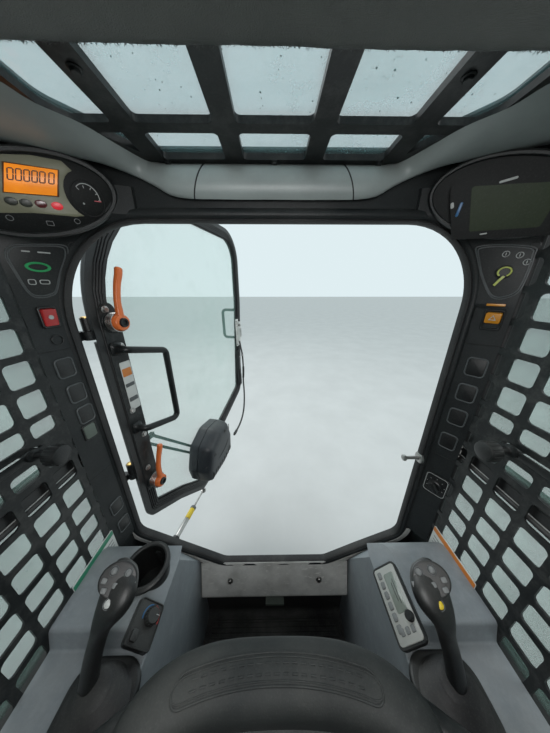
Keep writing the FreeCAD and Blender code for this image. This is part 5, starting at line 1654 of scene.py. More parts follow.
class CAB_OT_door_fittings(PieceOperator):
    """Add the hinges' bushes, the levers' springs, the bolts and the plates on the door"""
    bl_idname = "cab.door_fittings"
    bl_label = "Door Fittings"

    def build(self, context):
        self.bolts()
        self.levers()
        self.hinges()
        self.plates()
        self.latch()
        self.grab_feet()

    def bolts(self):
        bm = bmesh.new()
        for t, z in ((0.046, 1.176), (0.062, 1.085), (0.046, 0.905), (0.062, 0.815), (0.046, 0.700),
                     (0.050, 0.632)):
            add_bolt(bm, door_face(t, 0.004, z), 0.0065)
        for t, z in ((0.776, 0.915), (0.776, 1.050), (0.793, 0.985)):
            add_bolt(bm, door_face(t, 0.004, z), 0.0045)
        add_object("door_bolts", bm, "steel", "door")

    def levers(self):
        coils, rings = bmesh.new(), bmesh.new()
        for z in (1.146, 0.643):
            place = door_face(0.056, 0.004, z)
            for turn in range(4):
                ring = [place @ Vector((0.0215 * math.cos(2 * math.pi * k / 28),
                                        0.0215 * math.sin(2 * math.pi * k / 28),
                                        0.003 + 0.0052 * (turn + k / 28))) for k in range(28)]
                add_sweep(coils, ring + [place @ Vector((0.0215, 0, 0.003 + 0.0052 * (turn + 1)))],
                          round_section(0.0016, 7), up=door_normal())
            add_lathe(rings, place, [(0, 0.0345), (0.0060, 0.0345), (0.0068, 0.0380), (0.0100, 0.0385),
                                     (0.0112, 0.0362), (0.0112, 0.0338)][::-1], 28)
            add_frame_ring(rings, place, oval_points(0.0262, 0.0262, 32), oval_points(0.0195, 0.0195, 32),
                           0.0,
                           0.0026, 0.0008)
        add_object("lever_springs", coils, "steel", "door")
        add_object("lever_hubs", rings, "grille_paint", "door")
        bm = bmesh.new()
        for z in (1.146, 0.643):
            base = Vector((-0.056, 0.028, z))
            table = ((0.000, 0.000, 0.000, 1.25), (0.001, 0.003, 0.020, 1.12), (0.005, 0.001, 0.050, 1.0),
                     (0.013, 0.002, 0.084, 1.02), (0.022, 0.003, 0.108, 1.1), (0.026, 0.003, 0.122, 1.12))
            spots = smooth_path([base + Vector((-a, b, c)) for a, b, c, _ in table], 5)
            sizes = smooth_path([(k, 0, 0) for _, _, _, k in table], 5)
            place = door_place()
            path = [place @ p for p in spots]
            scale = [k.x for k in sizes]
            scale[-1] *= 0.72
            add_sweep(bm, path, [(math.copysign(abs(math.cos(a)) ** 0.8, math.cos(a)) * 0.0072,
                                  math.copysign(abs(math.sin(a)) ** 0.8, math.sin(a)) * 0.0064)
                                 for a in [2 * math.pi * k / 20 for k in range(20)]], up=door_normal(),
                                 scale=scale)
            add_lathe(bm, door_face(0.056, 0.004, z),
                      [(0, 0.0338), (0.0165, 0.0338), (0.0188, 0.0315), (0.0192, 0.0200), (0.0192, 0.0)], 36)
        piece = add_object("release_levers", bm, "lever_orange", "door", 50)
        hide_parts("door_levers")

    def hinges(self):
        bm = bmesh.new()
        for z in (1.110, 0.685):
            place = Matrix.Translation((DOOR_PIVOT.x, DOOR_PIVOT.y, z + 0.050))
            add_lathe(bm, place, [(0.0092, 0.0002), (0.0088, 0.0024), (0.0064, 0.0034), (0, 0.0036)], 24)
        add_object("hinge_bushes", bm, "brass", "door")
        bm = bmesh.new()
        for z in (1.110, 0.685):
            for x in (0.456, 0.472):
                add_bolt(bm, face_place((x, -0.5562, z + 0.010), (0, -1, 0)), 0.0050)
        add_object("hinge_bolts", bm, "steel", "cab")

    def plates(self):
        """A bare plate with plain bands on the hinge side, beside the glass."""
        place = door_face(0.0590, 0.0042, 0.975)
        bm = bmesh.new()
        add_button(bm, place, ring_points(0.0300, 0.1380, 0.003), 0.0, 0.0009, 0.0002)
        add_object("door_label", bm, "plate_white", "door")
        for name, y, height, finish_name in (("upper", 0.0400, 0.0220, "plate_orange"),
                                             ("middle", 0.0040, 0.0100, "mark_dark"),
                                             ("lower", -0.0380, 0.0120, "mark_dark")):
            bm = bmesh.new()
            add_button(bm, place @ Matrix.Translation((0, y, 0)), ring_points(0.0260, height, 0.002), 0.0004,
                       0.0014,
                       0.0002)
            add_object("door_label_" + name, bm, finish_name, "door")

    def latch(self):
        bm = bmesh.new()
        place = door_face(0.7860, 0.022, 0.985)
        add_layers(bm, place,
                   [(ring_points(0.0150, 0.0500, 0.004), -0.002),
                    (ring_points(0.0150, 0.0500, 0.004), 0.0030),
                               (ring_points(0.0125, 0.0470, 0.003), 0.0042)])
        add_layers(bm, place @ Matrix.Translation((0.0075, 0.0300, 0)) @ Matrix.Rotation(-0.6, 4, "Z"),
                   [(ring_points(0.0080, 0.0300, 0.003), -0.012),
                    (ring_points(0.0080, 0.0300, 0.003), -0.003),
                    (ring_points(0.0065, 0.0280, 0.0025), -0.002)])
        add_object("latch_claw", bm, "steel", "door")
        bm = bmesh.new()
        for k in range(9):
            spot = door_face(0.7710, 0.0142, 0.668 + 0.0075 * k)
            add_button(bm, spot, ring_points(0.0240, 0.0036, 0.0015), -0.001, 0.0018, 0.0007)
        for z in (0.705 + 0.045 * 1, 0.862):
            add_button(bm, door_face(0.7710, 0.0142, z), ring_points(0.0180, 0.0260, 0.004), -0.001, 0.0014,
                       0.0005)
        add_object("lock_bar_ribs", bm, "black_plastic", "door")
        bm = bmesh.new()
        add_lathe(bm, door_face(0.7710, 0.0138, 0.8400),
                  [(0.0040, 0), (0.0038, 0.0022), (0.0026, 0.0030), (0, 0.0031)], 20)
        add_object("lock_bar_pin", bm, "dial_white", "door")

    def grab_feet(self):
        bm = bmesh.new()
        for z in (1.081, 0.849):
            place = door_face(0.047, 0.004, z)
            add_layers(bm, place,
                       [(ring_points(0.0300, 0.0340, 0.009), 0.0),
                        (ring_points(0.0300, 0.0340, 0.009), 0.0030),
                                   (ring_points(0.0230, 0.0260, 0.009), 0.0060),
                                   (oval_points(0.0105, 0.0105, 28), 0.0110),
                                   (oval_points(0.0098, 0.0098, 28), 0.0180)])
        add_object("grab_feet", bm, "grille_paint", "door")


class CAB_OT_motor_cover(PieceOperator):
    """Mould the wiper motor's cover, with its seam, ribs and screws"""
    bl_idname = "cab.motor_cover"
    bl_label = "Wiper Motor Cover"

    CORNERS = [(0.414, 0.486, 0.022), (0.334, 0.462, 0.026), (0.214, 0.462, 0.024), (0.200, 0.532, 0.030),
               (0.230, 0.624, 0.036), (0.310, 0.664, 0.036), (0.400, 0.654, 0.030), (0.424, 0.574, 0.030)]

    def build(self, context):
        bm = bmesh.new()
        layers = []
        for inset, off in ((0.006, 0.0095), (0.001, 0.0140), (0.0, 0.0300), (0.0, 0.0500), (0.0022, 0.0510),
                           (0.0022, 0.0535), (0.0004, 0.0545), (0.001, 0.0720), (0.005, 0.0880),
                           (0.012, 0.0990),
                           (0.021, 0.1055), (0.034, 0.1082), (0.050, 0.1088)):
            layers.append((rounded_loop(self.CORNERS, inset, 6), off))
        place = door_place()
        rows = [[place @ Vector((-t, off, z)) for t, z in outline] for outline, off in layers]
        add_loft(bm, rows, closed=True)
        piece = add_object("motor_cover", bm, "cover_blue_grey", "door", 50)
        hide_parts("wiper_motor_cover")
        bm = bmesh.new()
        for k in range(9):
            t = 0.232 + 0.019 * k
            path = [door_point(t + dt, off, z) for dt, off, z in
                    ((0, 0.060, 0.4622), (0, 0.085, 0.4660), (0, 0.0985, 0.4760), (0, 0.1062, 0.4930),
                     (0, 0.1080, 0.5080))]
            if t > 0.334:
                lift = (t - 0.334) * 0.3
                path = [p + Vector((0, 0, lift)) for p in path]
            add_sweep(bm, smooth_path(path, 4), round_section(0.0034, 8), up=(1, 0, 0))
        add_object("motor_cover_ribs", bm, "black_plastic", "door", 60)
        bm = bmesh.new()
        seam = [door_point(t, off, z) for t, off, z in
                ((0.2035, 0.0900, 0.556), (0.2400, 0.1030, 0.548), (0.2900, 0.1088, 0.543),
                 (0.3400, 0.1088, 0.552),
                 (0.3800, 0.1070, 0.580), (0.4130, 0.0950, 0.622))]
        add_sweep(bm, smooth_path(seam, 6), round_section(0.0014, 8), up=(0, 0, 1))
        for t, z in ((0.258, 0.580), (0.352, 0.628), (0.372, 0.520), (0.262, 0.505)):
            add_lathe(bm, door_face(t, 0.1080, z),
                      [(0.0075, 0.0), (0.0072, 0.0012), (0.0050, 0.0014), (0.0046, 0.0004),
                                                    (0, 0.0004)], 20)
        add_object("motor_cover_seam", bm, "black_plastic", "door")


class CAB_OT_stay(PieceOperator):
    """Sleeve the door's stay and add its clamp and joint caps"""
    bl_idname = "cab.stay"
    bl_label = "Door Stay"

    CAB_EYE, DOOR_EYE = Vector((0.3959, -0.60575, 0.300)), Vector((0.34507, -0.85423, 0.300))

    def build(self, context):
        along = (self.DOOR_EYE - self.CAB_EYE).normalized()
        turn = along.to_track_quat("Z", "Y").to_matrix().to_4x4()
        place = Matrix.Translation(self.CAB_EYE) @ turn
        self.turned_piece("stay_chrome", place,
                          [(0.0092, 0.018), (0.0100, 0.0195), (0.0100, 0.1140), (0.0092, 0.1155)],
                          "steel", "stay_tube")
        self.turned_piece("stay_sleeve", place,
                          [(0.0092, 0.1160), (0.0112, 0.1175), (0.0112, 0.1560), (0.0104, 0.1580)],
                          "stay_yellow", "stay_tube")
        self.turned_piece("stay_collar", place,
                          [(0.0104, 0.1582), (0.0118, 0.1592), (0.0118, 0.1680), (0.0080, 0.1720),
                                                 (0.0046, 0.1722)], "mark_grey", "stay_tube")
        self.turned_piece("stay_clamp", place,
                          [(0.0101, 0.0330), (0.0135, 0.0335), (0.0135, 0.0430), (0.0101, 0.0435)],
                          "black_plastic", "stay_tube")
        self.turned_piece("stay_bottom", place,
                          [(0.0052, 0.0090), (0.0080, 0.0100), (0.0094, 0.0150), (0.0094, 0.0182)],
                          "mark_grey", "stay_tube")
        cap = Matrix.Translation(self.CAB_EYE)
        self.turned_piece("stay_eye_cap", cap,
                          [(0.0080, 0.0070), (0.0078, 0.0105), (0.0050, 0.0125), (0, 0.0127)],
                          "steel", "cab")

    def turned_piece(self, name, place, profile, material, body):
        bm = bmesh.new()
        inner = min(radius for radius, _ in profile) - 0.0006
        if inner > 0.002:
            profile = profile + [(inner, profile[-1][1]), (inner, profile[0][1])]
            profile.append(profile[0])
        add_lathe(bm, place, profile, 32)
        bmesh.ops.remove_doubles(bm, verts=bm.verts[:], dist=1e-6)
        add_object(name, bm, material, body)


class CAB_OT_seat(PieceOperator):
    """Swell the seat's cushion and back rest as padded vinyl, with piping and sewn channels"""
    bl_idname = "cab.seat"
    bl_label = "Seat"

    def build(self, context):
        crown = context.scene.cab_detail.cushion_crown
        cushion = self.swell("seat_cushion", "cushion", crown, 0.94)
        back = self.swell("seat_back", "back_rest", crown, 0.94)
        self.channels(cushion, Vector((0, 0, 1)), [("x", -0.118), ("x", 0.118), ("y", -0.060), ("y", 0.070)],
                      0.118)
        self.channels(back, Vector((0, -1, 0.1)),
                      [("x", -0.118), ("x", 0.118), ("z", 0.72), ("z", 0.86), ("z", 1.0)],
                      0.118)
        self.piping(cushion, [(x, y, 0.556) for x, y in ring_points(0.60, 0.62, 0.05, 12)], -0.045,
                    "cushion_piping")
        self.back_piping(back)
        self.buckle()

    def swell(self, node, name, crown, start):
        """A cushion made from a CAD solid: shrunk, remeshed and blown up, with a cap on its moves."""
        source = NODES[node]
        mesh = source.data.copy()
        piece = bpy.data.objects.new(name, mesh)
        bpy.context.scene.collection.objects.link(piece)
        low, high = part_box(node)
        middle = (Vector(low) + Vector(high)) / 2
        for vertex in mesh.vertices:
            offset = vertex.co - middle
            vertex.co = middle + Vector((offset.x * start, offset.y * start, offset.z * start))
        remesh = piece.modifiers.new("remesh", "REMESH")
        remesh.mode, remesh.voxel_size = "VOXEL", 0.006
        self.apply(piece)
        mesh = piece.data
        rest = [vertex.co.copy() for vertex in mesh.vertices]
        cloth = piece.modifiers.new("swell", "CLOTH")
        cloth.settings.use_pressure = True
        cloth.settings.uniform_pressure_force = 4.0
        cloth.settings.effector_weights.gravity = 0.0
        cloth.settings.quality = 4
        cloth.point_cache.frame_start, cloth.point_cache.frame_end = 1, 20
        for step in range(1, 21):
            bpy.context.scene.frame_set(step)
        self.apply(piece)
        bpy.context.scene.frame_set(1)
        mesh = piece.data
        low, high = Vector(low), Vector(high)
        for vertex, origin in zip(mesh.vertices, rest):
            move = vertex.co - origin
            if move.length > crown:
                move *= crown / move.length
            place = origin + move
            for axis in range(3):
                place[axis] = min(high[axis] + 0.004, max(low[axis], place[axis]))
            vertex.co = place
        for face in mesh.polygons:
            face.use_smooth = True
        mesh.materials.clear()
        mesh.materials.append(finish("seat_vinyl"))
        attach(piece, "cab")
        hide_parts(node)
        return piece

    def apply(self, piece):
        """Turns the piece's modifiers into its mesh."""
        graph = bpy.context.evaluated_depsgraph_get()
        done = bpy.data.meshes.new_from_object(piece.evaluated_get(graph))
        piece.modifiers.clear()
        old, piece.data = piece.data, done
        bpy.data.meshes.remove(old)

    def channels(self, piece, outward, lines, middle):
        """Presses sewn channels into the side that faces outward."""
        outward = outward.normalized()
        axes = {"x": 0, "y": 1, "z": 2}
        for vertex, normal in zip(piece.data.vertices, piece.data.vertex_normals):
            facing = normal.vector.dot(outward)
            if facing < 0.35:
                continue
            depth = 0.0
            for axis, place in lines:
                away = abs(vertex.co[axes[axis]] - place)
                inside = axis == "x" or abs(vertex.co.x) < middle
                if inside and away < 0.012:
                    depth = max(depth, 0.0075 * (1 - away / 0.012) ** 2)
            vertex.co -= outward * depth * min(1.0, (facing - 0.35) * 2)
        smooth = piece.modifiers.new("smooth", "SUBSURF")
        smooth.levels = smooth.render_levels = 1
        self.apply(piece)
        for face in piece.data.polygons:
            face.use_smooth = True

    def piping(self, piece, ring, centre_y, name):
        tree = BVHTree.FromObject(piece, bpy.context.evaluated_depsgraph_get())
        path = []
        for x, y, z in ring:
            start = Vector((x, y + centre_y, z))
            way = Vector((-x, -y, 0)).normalized()
            hit, normal, _, _ = tree.ray_cast(start, way)
            if hit:
                path.append(hit + normal * 0.001)
        bm = bmesh.new()
        add_sweep(bm, path, round_section(0.0032, 10), closed=True)
        add_object(name, bm, "seat_vinyl", "cab", 60)

    def back_piping(self, piece):
        """A cord round the back rest's front edge."""
        tree = BVHTree.FromObject(piece, bpy.context.evaluated_depsgraph_get())
        path = []
        for x, z in rounded_loop([(-0.190, 0.640, 0.03), (0.190, 0.640, 0.03), (0.190, 1.080, 0.06),
                                  (-0.190, 1.080, 0.06)], 0.0, 12, between=8):
            hit, normal, _, _ = tree.ray_cast(Vector((x, -0.4, z)), Vector((0, 1, 0)))
            if hit:
                path.append(hit + normal * 0.0008)
        bm = bmesh.new()
        add_sweep(bm, path, round_section(0.0028, 10), up=(0, 1, 0), closed=True)
        add_object("back_piping", bm, "seat_vinyl", "cab", 60)

    def buckle(self):
        bm = bmesh.new()
        place = face_place((0.2480, 0.1425, 0.655), (1, 0, 0))
        add_button(bm, place, ring_points(0.0200, 0.0260, 0.003), -0.001, 0.0028, 0.0010)
        add_object("buckle_button", bm, "switch_red", "cab")


class CAB_OT_consoles(PieceOperator):
    """Detail the cup holder, the climate controls and the radio on the consoles"""
    bl_idname = "cab.consoles"
    bl_label = "Console Controls"

    def build(self, context):
        self.cup()
        self.climate()
        self.radio()

    def shoulder(self, side, y, depth):
        """A frame on a unit of the slanted shoulder: y runs forwards, x to the viewer's right."""
        leg = math.sqrt(0.5)
        origin = Vector((side * 0.271, y, 0.579)) + Vector((-side * leg, 0, leg)) * depth
        return face_place(origin, (-side * leg, 0, leg), (0, -1, 0))

    def cup(self):
        bm = bmesh.new()
        place = Matrix.Translation((0.305, -0.406, 0.606))
        add_lathe(bm, place,
                  [(0.0400, -0.010), (0.0398, 0.0008), (0.0412, 0.0028), (0.0440, 0.0036), (0.0490, 0.0026),
                              (0.0512, 0.0002), (0.0512, -0.0040)], 56)
        for turn in (20, 140, 260):
            spot = place @ Matrix.Rotation(math.radians(turn), 4,
                                           "Z") @ Matrix.Translation((0.0375, 0, -0.022))
            add_layers(bm, spot,
                       [(ring_points(0.0070, 0.0160, 0.003), -0.030),
                        (ring_points(0.0080, 0.0170, 0.003), 0.0),
                                  (ring_points(0.0040, 0.0130, 0.0018), 0.0050)])
        add_object("cup_rim", bm, "black_plastic", "cab")

    def climate(self):
        place = self.shoulder(LEFT, -0.320, 0.012)
        bm = bmesh.new()
        add_frame_ring(bm, place, ring_points(0.0540, 0.0660, 0.007), ring_points(0.0490, 0.0610, 0.005),
                       -0.001, 0.0020,
                       0.0008)
        knob = place @ Matrix.Translation((0.0060, 0.0100, 0))
        add_lathe(bm, knob, [(0.0135, 0.0), (0.0130, 0.0100), (0.0112, 0.0125), (0, 0.0128)], 36)
        for turn in range(0, 360, 20):
            spot = knob @ Matrix.Rotation(math.radians(turn), 4, "Z") @ Matrix.Translation((0.0133, 0, 0))
            add_button(bm, spot, ring_points(0.0016, 0.0016, 0.0006), 0.001, 0.0098, 0.0006)
        small = place @ Matrix.Translation((-0.0140, -0.0190, 0))
        add_button(bm, small, ring_points(0.0130, 0.0160, 0.003), -0.001, 0.0048, 0.0012)
        add_object("climate_knob", bm, "black_plastic", "cab")
        for name, first, last, finish_name in (("cold", 100, 200, "button_blue"),
                                               ("warm", -20, 80, "switch_red")):
            bm = bmesh.new()
            arc = [knob @ Vector((0.0175 * math.cos(math.radians(a)), 0.0175 * math.sin(math.radians(a)),
                                  0.0004))
                   for a in range(first, last + 1, 10)]
            add_sweep(bm, arc, [(-0.0012, 0), (0.0012, 0), (0.0009, 0.0009), (-0.0009, 0.0009)],
                      up=place.col[2][:3])
            add_object("climate_" + name, bm, finish_name, "cab")
        bm = bmesh.new()
        add_button(bm, knob @ Matrix.Translation((0.0075, 0.0020, 0.0126)),
                   ring_points(0.0070, 0.0012, 0.0005), 0.0,
                   0.0007, 0.0002)
        add_object("climate_mark", bm, "dial_white", "cab")

    def radio(self):
        place = self.shoulder(RIGHT, -0.345, 0.014)
        bm = bmesh.new()
        add_frame_ring(bm, place, ring_points(0.0600, 0.1260, 0.010), ring_points(0.0520, 0.1170, 0.006),
                       -0.006, 0.0022,
                       0.0010)
        add_object("radio_bezel", bm, "black_plastic", "cab")
        bm = bmesh.new()
        add_button(bm, place, ring_points(0.0520, 0.1170, 0.006), -0.001, 0.0030, 0.0012)
        add_object("radio_face", bm, "silver_plastic", "cab")
        bm = bmesh.new()
        add_button(bm, place @ Matrix.Translation((0.0060, 0.0130, 0)), ring_points(0.0240, 0.0640, 0.004),
                   0.0020, 0.0036,
                   0.0006)
        add_object("radio_display", bm, "lcd_grey", "cab")
        bm = bmesh.new()
        for k in range(6):
            spot = place @ Matrix.Translation((-0.0145, -0.0370 + 0.0165 * k, 0))
            add_button(bm, spot, ring_points(0.0095, 0.0125, 0.0025), 0.0020, 0.0048, 0.0010)
        for k in range(3):
            spot = place @ Matrix.Translation((0.0130 - 0.0120 * k, -0.0420, 0))
            add_button(bm, spot, ring_points(0.0085, 0.0105, 0.0022), 0.0020, 0.0046, 0.0010)
        add_object("radio_buttons", bm, "mark_grey", "cab")
        bm = bmesh.new()
        add_lathe(bm, place @ Matrix.Translation((0.0170, -0.0270, 0)),
                  [(0.0085, 0.001), (0.0082, 0.0090), (0.0068, 0.0108), (0, 0.0110)], 30)
        for x, y, width, height in ((0.0060, 0.0130, 0.0012, 0.030), (0.0110, 0.0130, 0.0012, 0.040)):
            add_button(bm, place @ Matrix.Translation((x, y, 0.0016)), ring_points(width, height, 0.0005),
                       0.0018,
                       0.0026, 0.0002)
        add_object("radio_knob", bm, "black_plastic", "cab")


class CAB_OT_footwell(PieceOperator):
    """Cover the apron and the sill with worn sheet, its lip, its step and its plate"""
    bl_idname = "cab.footwell"
    bl_label = "Sill and Foot Well"

    def build(self, context):
        bm = bmesh.new()
        rows = []
        for k in range(41):
            x = -0.244 + 0.488 * k / 40
            dent = 0.0012 * noise.noise(Vector((x * 18, 3.0, 0)))
            rows.append([Vector((x, y + dent * soft, z)) for y, z, soft in
                         ((-0.5378, 0.352, 0), (-0.5350, 0.3528, 1), (-0.5300, 0.340, 1), (-0.5120, 0.288, 1),
                          (-0.5010, 0.252, 1), (-0.4985, 0.2435, 0), (-0.5005, 0.2425, 0),
                          (-0.5378, 0.345, 0))])
        add_loft(bm, rows, closed=True)
        add_object("apron_skin", bm, "worn_steel", "cab", 40)
        bm = bmesh.new()
        loop = opening_path(-0.026)
        start = max(range(len(loop)), key=lambda i: loop[i][1])
        loop = [p for p in loop[start:] + loop[:start] if p[1] < 0.560]
        path = [Vector((x, FRONT_FACE_Y + 0.0002, z)) for x, z in loop]
        add_sweep(bm, path, [(-0.0080, 0.0), (0.0080, 0.0), (0.0065, 0.0024), (-0.0065, 0.0024)],
                  up=(0, 1, 0))
        add_object("sill_band", bm, "worn_steel", "cab", 40)
        bm = bmesh.new()
        plate = face_place((0.0, -0.4965, 0.1960), (0, 1, 0.06))
        add_button(bm, plate, ring_points(0.0640, 0.0100, 0.002), -0.0340, 0.0030, 0.0008)
        add_object("sill_plate", bm, "plate_olive", "cab")
        bm = bmesh.new()
        for x in (-0.15, 0.15):
            add_bolt(bm, face_place((x, -0.5145, 0.2960), (0, 1, 0.35)), 0.0070)
        add_object("apron_bolts", bm, "steel", "cab")
        bm = bmesh.new()
        for k in range(23):
            y = -0.500 + 0.0125 * k
            add_sweep(bm, [(-0.225, y, 0.0683), (0.0, y, 0.0683), (0.225, y, 0.0683)],
                      [(-0.0022, 0), (0.0022, 0), (0.0012, 0.0024), (-0.0012, 0.0024)])
        outer, inner = ring_points(0.470, 0.300, 0.012), ring_points(0.456, 0.286, 0.008)
        add_frame_ring(bm, Matrix.Translation((0, -0.3620, 0.0680)), outer, inner, 0.0, 0.0040, 0.001)
        add_object("floor_mat", bm, "floor_black", "cab")
        bm = bmesh.new()
        for x in range(-3, 4):
            add_sweep(bm, [(x * 0.0125, -0.2080, 0.150), (x * 0.0125, -0.2080, 0.260),
                           (x * 0.0125, -0.2080, 0.385)],
                      round_section(0.0026, 8), up=(0, 1, 0))
        add_object("riser_ribs", bm, "floor_black", "cab")


class CAB_OT_windows(PieceOperator):
    """Gasket the side windows, mark their dividers and hang the bare plates behind the grilles"""
    bl_idname = "cab.windows"
    bl_label = "Side Windows"

    def build(self, context):
        gaskets, lines, strips = bmesh.new(), bmesh.new(), bmesh.new()
        upper = [(-0.494, 0.876, 0.012), (0.4285, 0.876, 0.012), (0.3790, 1.344, 0.020),
                 (-0.494, 1.344, 0.020)]
        lower = [(-0.494, 0.536, 0.020), (0.434, 0.536, 0.020), (0.434, 0.700, 0.040), (0.4185, 0.836, 0.012),
                 (-0.494, 0.836, 0.012)]
        for side, word in SIDES:
            for pane in (upper, lower):
                for off, radius in ((0.4505, 0.0050), (0.4815, 0.0042)):
                    path = [Vector((side * off, y, z)) for y, z in rounded_loop(pane, -0.003, 7)]
                    add_sweep(gaskets, path, round_section(radius, 8), up=(1, 0, 0), closed=True)
            for z in (0.8675, 0.8445):
                add_sweep(lines, [(side * 0.4518, -0.505, z), (side * 0.4518, 0.0, z),
                                  (side * 0.4518, 0.425, z)],
                          [(-0.0012, -0.0008), (0.0012, -0.0008), (0.0012, 0.0008), (-0.0012, 0.0008)])
            for k in range(46):
                z = 0.552 + 0.0175 * k
                spot = face_place((side * 0.4515, -0.5055, z), (-side, 0, 0))
                add_button(strips, spot, ring_points(0.0150, 0.0120, 0.003), -0.002, 0.0022, 0.0010)
            self.plate(side, word)
            self.latch(side, word)
        add_object("window_gaskets", gaskets, "seal_rubber", "cab", 60)
        add_object("divider_lines", lines, "dial_white", "cab")
        add_object("weathered_strips", strips, "worn_steel", "cab")

    def plate(self, side, word):
        y, width = (-0.4230, 0.118) if side == LEFT else (-0.4200, 0.124)
        place = face_place((side * 0.4396, y, 0.572), (-side, 0, 0))
        bm = bmesh.new()
        add_button(bm, place, ring_points(width, 0.084, 0.004), -0.0012, 0.0008, 0.0002)
        add_object("window_plate_" + word, bm, "plate_white", "cab")
        bm = bmesh.new()
        add_button(bm, place @ Matrix.Translation((0, 0.0330, 0)), ring_points(width - 0.002, 0.0140, 0.002),
                   0.0004,
                   0.0014, 0.0002)
        add_object("window_stripe_" + word, bm, "plate_green" if side == LEFT else "plate_orange", "cab")
        bm = bmesh.new()
        for row in range(5):
            for x, share_of in ((-0.25, 0.38), (0.22, 0.44)):
                spot = place @ Matrix.Translation((x * width, 0.0130 - 0.0105 * row, 0))
                add_button(bm, spot, ring_points(share_of * width, 0.0026, 0.001), 0.0004, 0.0011, 0.0002)
        add_object("window_plate_bars_" + word, bm, "mark_grey", "cab")

    def latch(self, side, word):
        """The knob's ribbed rim, its cap, and the plate that slides in the slot."""
        place = face_place((side * 0.384, -0.404, 0.940), (-side, 0, 0))
        bm = bmesh.new()
        add_lathe(bm, place,
                  [(0.0172, -0.0220), (0.0180, -0.0200), (0.0180, -0.0030), (0.0165, 0.0005),
                   (0.0120, 0.0022),
                              (0, 0.0028)], 36)
        for turn in range(0, 360, 24):
            spot = place @ Matrix.Rotation(math.radians(turn), 4, "Z") @ Matrix.Translation((0.0178, 0, 0))
            add_button(bm, spot, ring_points(0.0022, 0.0030, 0.0009), -0.0195, -0.0028, 0.0008)
        add_object("latch_knob_" + word, bm, "black_plastic", "cab")
        bm = bmesh.new()
        rail = face_place((side * 0.4385, -0.310, 0.940), (-side, 0, 0))
        add_button(bm, rail, ring_points(0.2300, 0.0120, 0.004), -0.001, 0.0030, 0.0010)
        add_lathe(bm, face_place((side * 0.4355, -0.404, 0.940), (-side, 0, 0)),
                  [(0.0125, 0.0), (0.0120, 0.0030), (0.0080, 0.0045), (0.0062, 0.0060)], 28)
        add_object("latch_rail_" + word, bm, "grille_paint", "cab")


class CAB_OT_roof(PieceOperator):
    """Bolt the roof grid, gasket its panes and speck its glass"""
    bl_idname = "cab.roof"
    bl_label = "Roof Window"

    def build(self, context):
        bm = bmesh.new()
        for x, y in ((0.1875, -0.3815), (-0.1875, -0.385), (0.171, -0.5320), (-0.170, -0.5320),
                     (0.285, -0.3400),
                     (-0.285, -0.3400), (0.0, -0.5320)):
            add_bolt(bm, face_place((x, y, 1.4140), (0, 0, -1), (0, -1, 0)), 0.0048)
        add_object("grid_bolts", bm, "grille_paint", "cab")
        bm = bmesh.new()
        rng = random.Random(23)
        for _ in range(110):
            x, y = rng.uniform(-0.25, 0.25), rng.uniform(-0.50, -0.305)
            size_of = rng.choice((0.0004, 0.0005, 0.0006, 0.0008, 0.0010))
            points = [(size_of * rng.uniform(0.6, 1.2) * math.cos(a),
                       size_of * rng.uniform(0.6, 1.2) * math.sin(a))
                      for a in [math.pi * k / 4 for k in range(8)]]
            add_layers(bm, Matrix.Translation((x, y, 1.4268)), [(points, 0.0), (points, 0.0007)])
        add_object("roof_debris", bm, "debris", "cab")
        bm = bmesh.new()
        corners = [(0.275, -0.290, 0.012), (0.275, -0.436, 0.040), (0.195, -0.535, 0.040)]
        corners = corners + [(-x, y, r) for x, y, r in corners[::-1]]
        path = [Vector((x, y, 1.4300)) for x, y in rounded_loop(corners, 0.0, 8)]
        add_sweep(bm, path, [(-0.006, -0.002), (0.006, -0.002), (0.004, 0.0025), (-0.004, 0.0025)],
                  closed=True)
        add_object("roof_gasket", bm, "seal_rubber", "cab")


class CAB_OT_jambs(PieceOperator):
    """Flange the jambs beside the door opening and dress the striker"""
    bl_idname = "cab.jambs"
    bl_label = "Door Jambs"

    def build(self, context):
        path = [(x, z) for x, z in opening_path(0.0)]
        hole_shade_discs, flange = bmesh.new(), bmesh.new()
        edge = [Vector((x, FRONT_FACE_Y - 0.006, z)) for x, z in path]
        sweep_opening(flange, edge,
                      [(0.0002, 0.0050), (-0.0030, 0.0045), (-0.0030, -0.0055), (0.0002, -0.0060)])
        add_object("jamb_flange", flange, "jamb_grey", "cab", 50)
        # Shallow black dishes at the jamb's holes: painted shade that stands in for the dark inside of each
        # hole.
        for z in (0.600, 0.690, 0.900, 1.000, 1.090):
            add_lathe(hole_shade_discs, face_place((-0.3938, -0.5440, z), (1, 0, 0)),
                      [(0, -0.0012), (0.0026, -0.0012), (0.0030, 0.0004),
                                                                            (0.0038, 0.0002)], 18)
        add_object("jamb_hole_shade_discs", hole_shade_discs, "black_plastic", "cab")
        bm = bmesh.new()
        place = face_place((-0.3970, -0.5440, 0.7910), (1, 0, 0))
        add_lathe(bm, place,
                  [(0.0150, 0.0000), (0.0150, 0.0040), (0.0125, 0.0060), (0.0060, 0.0065), (0.0048, 0.0110),
                              (0.0044, 0.0400), (0.0076, 0.0405), (0.0084, 0.0425), (0.0080, 0.0470),
                              (0.0055, 0.0488),
                              (0, 0.0490)], 28)
        add_object("striker_bolt", bm, "steel", "cab")


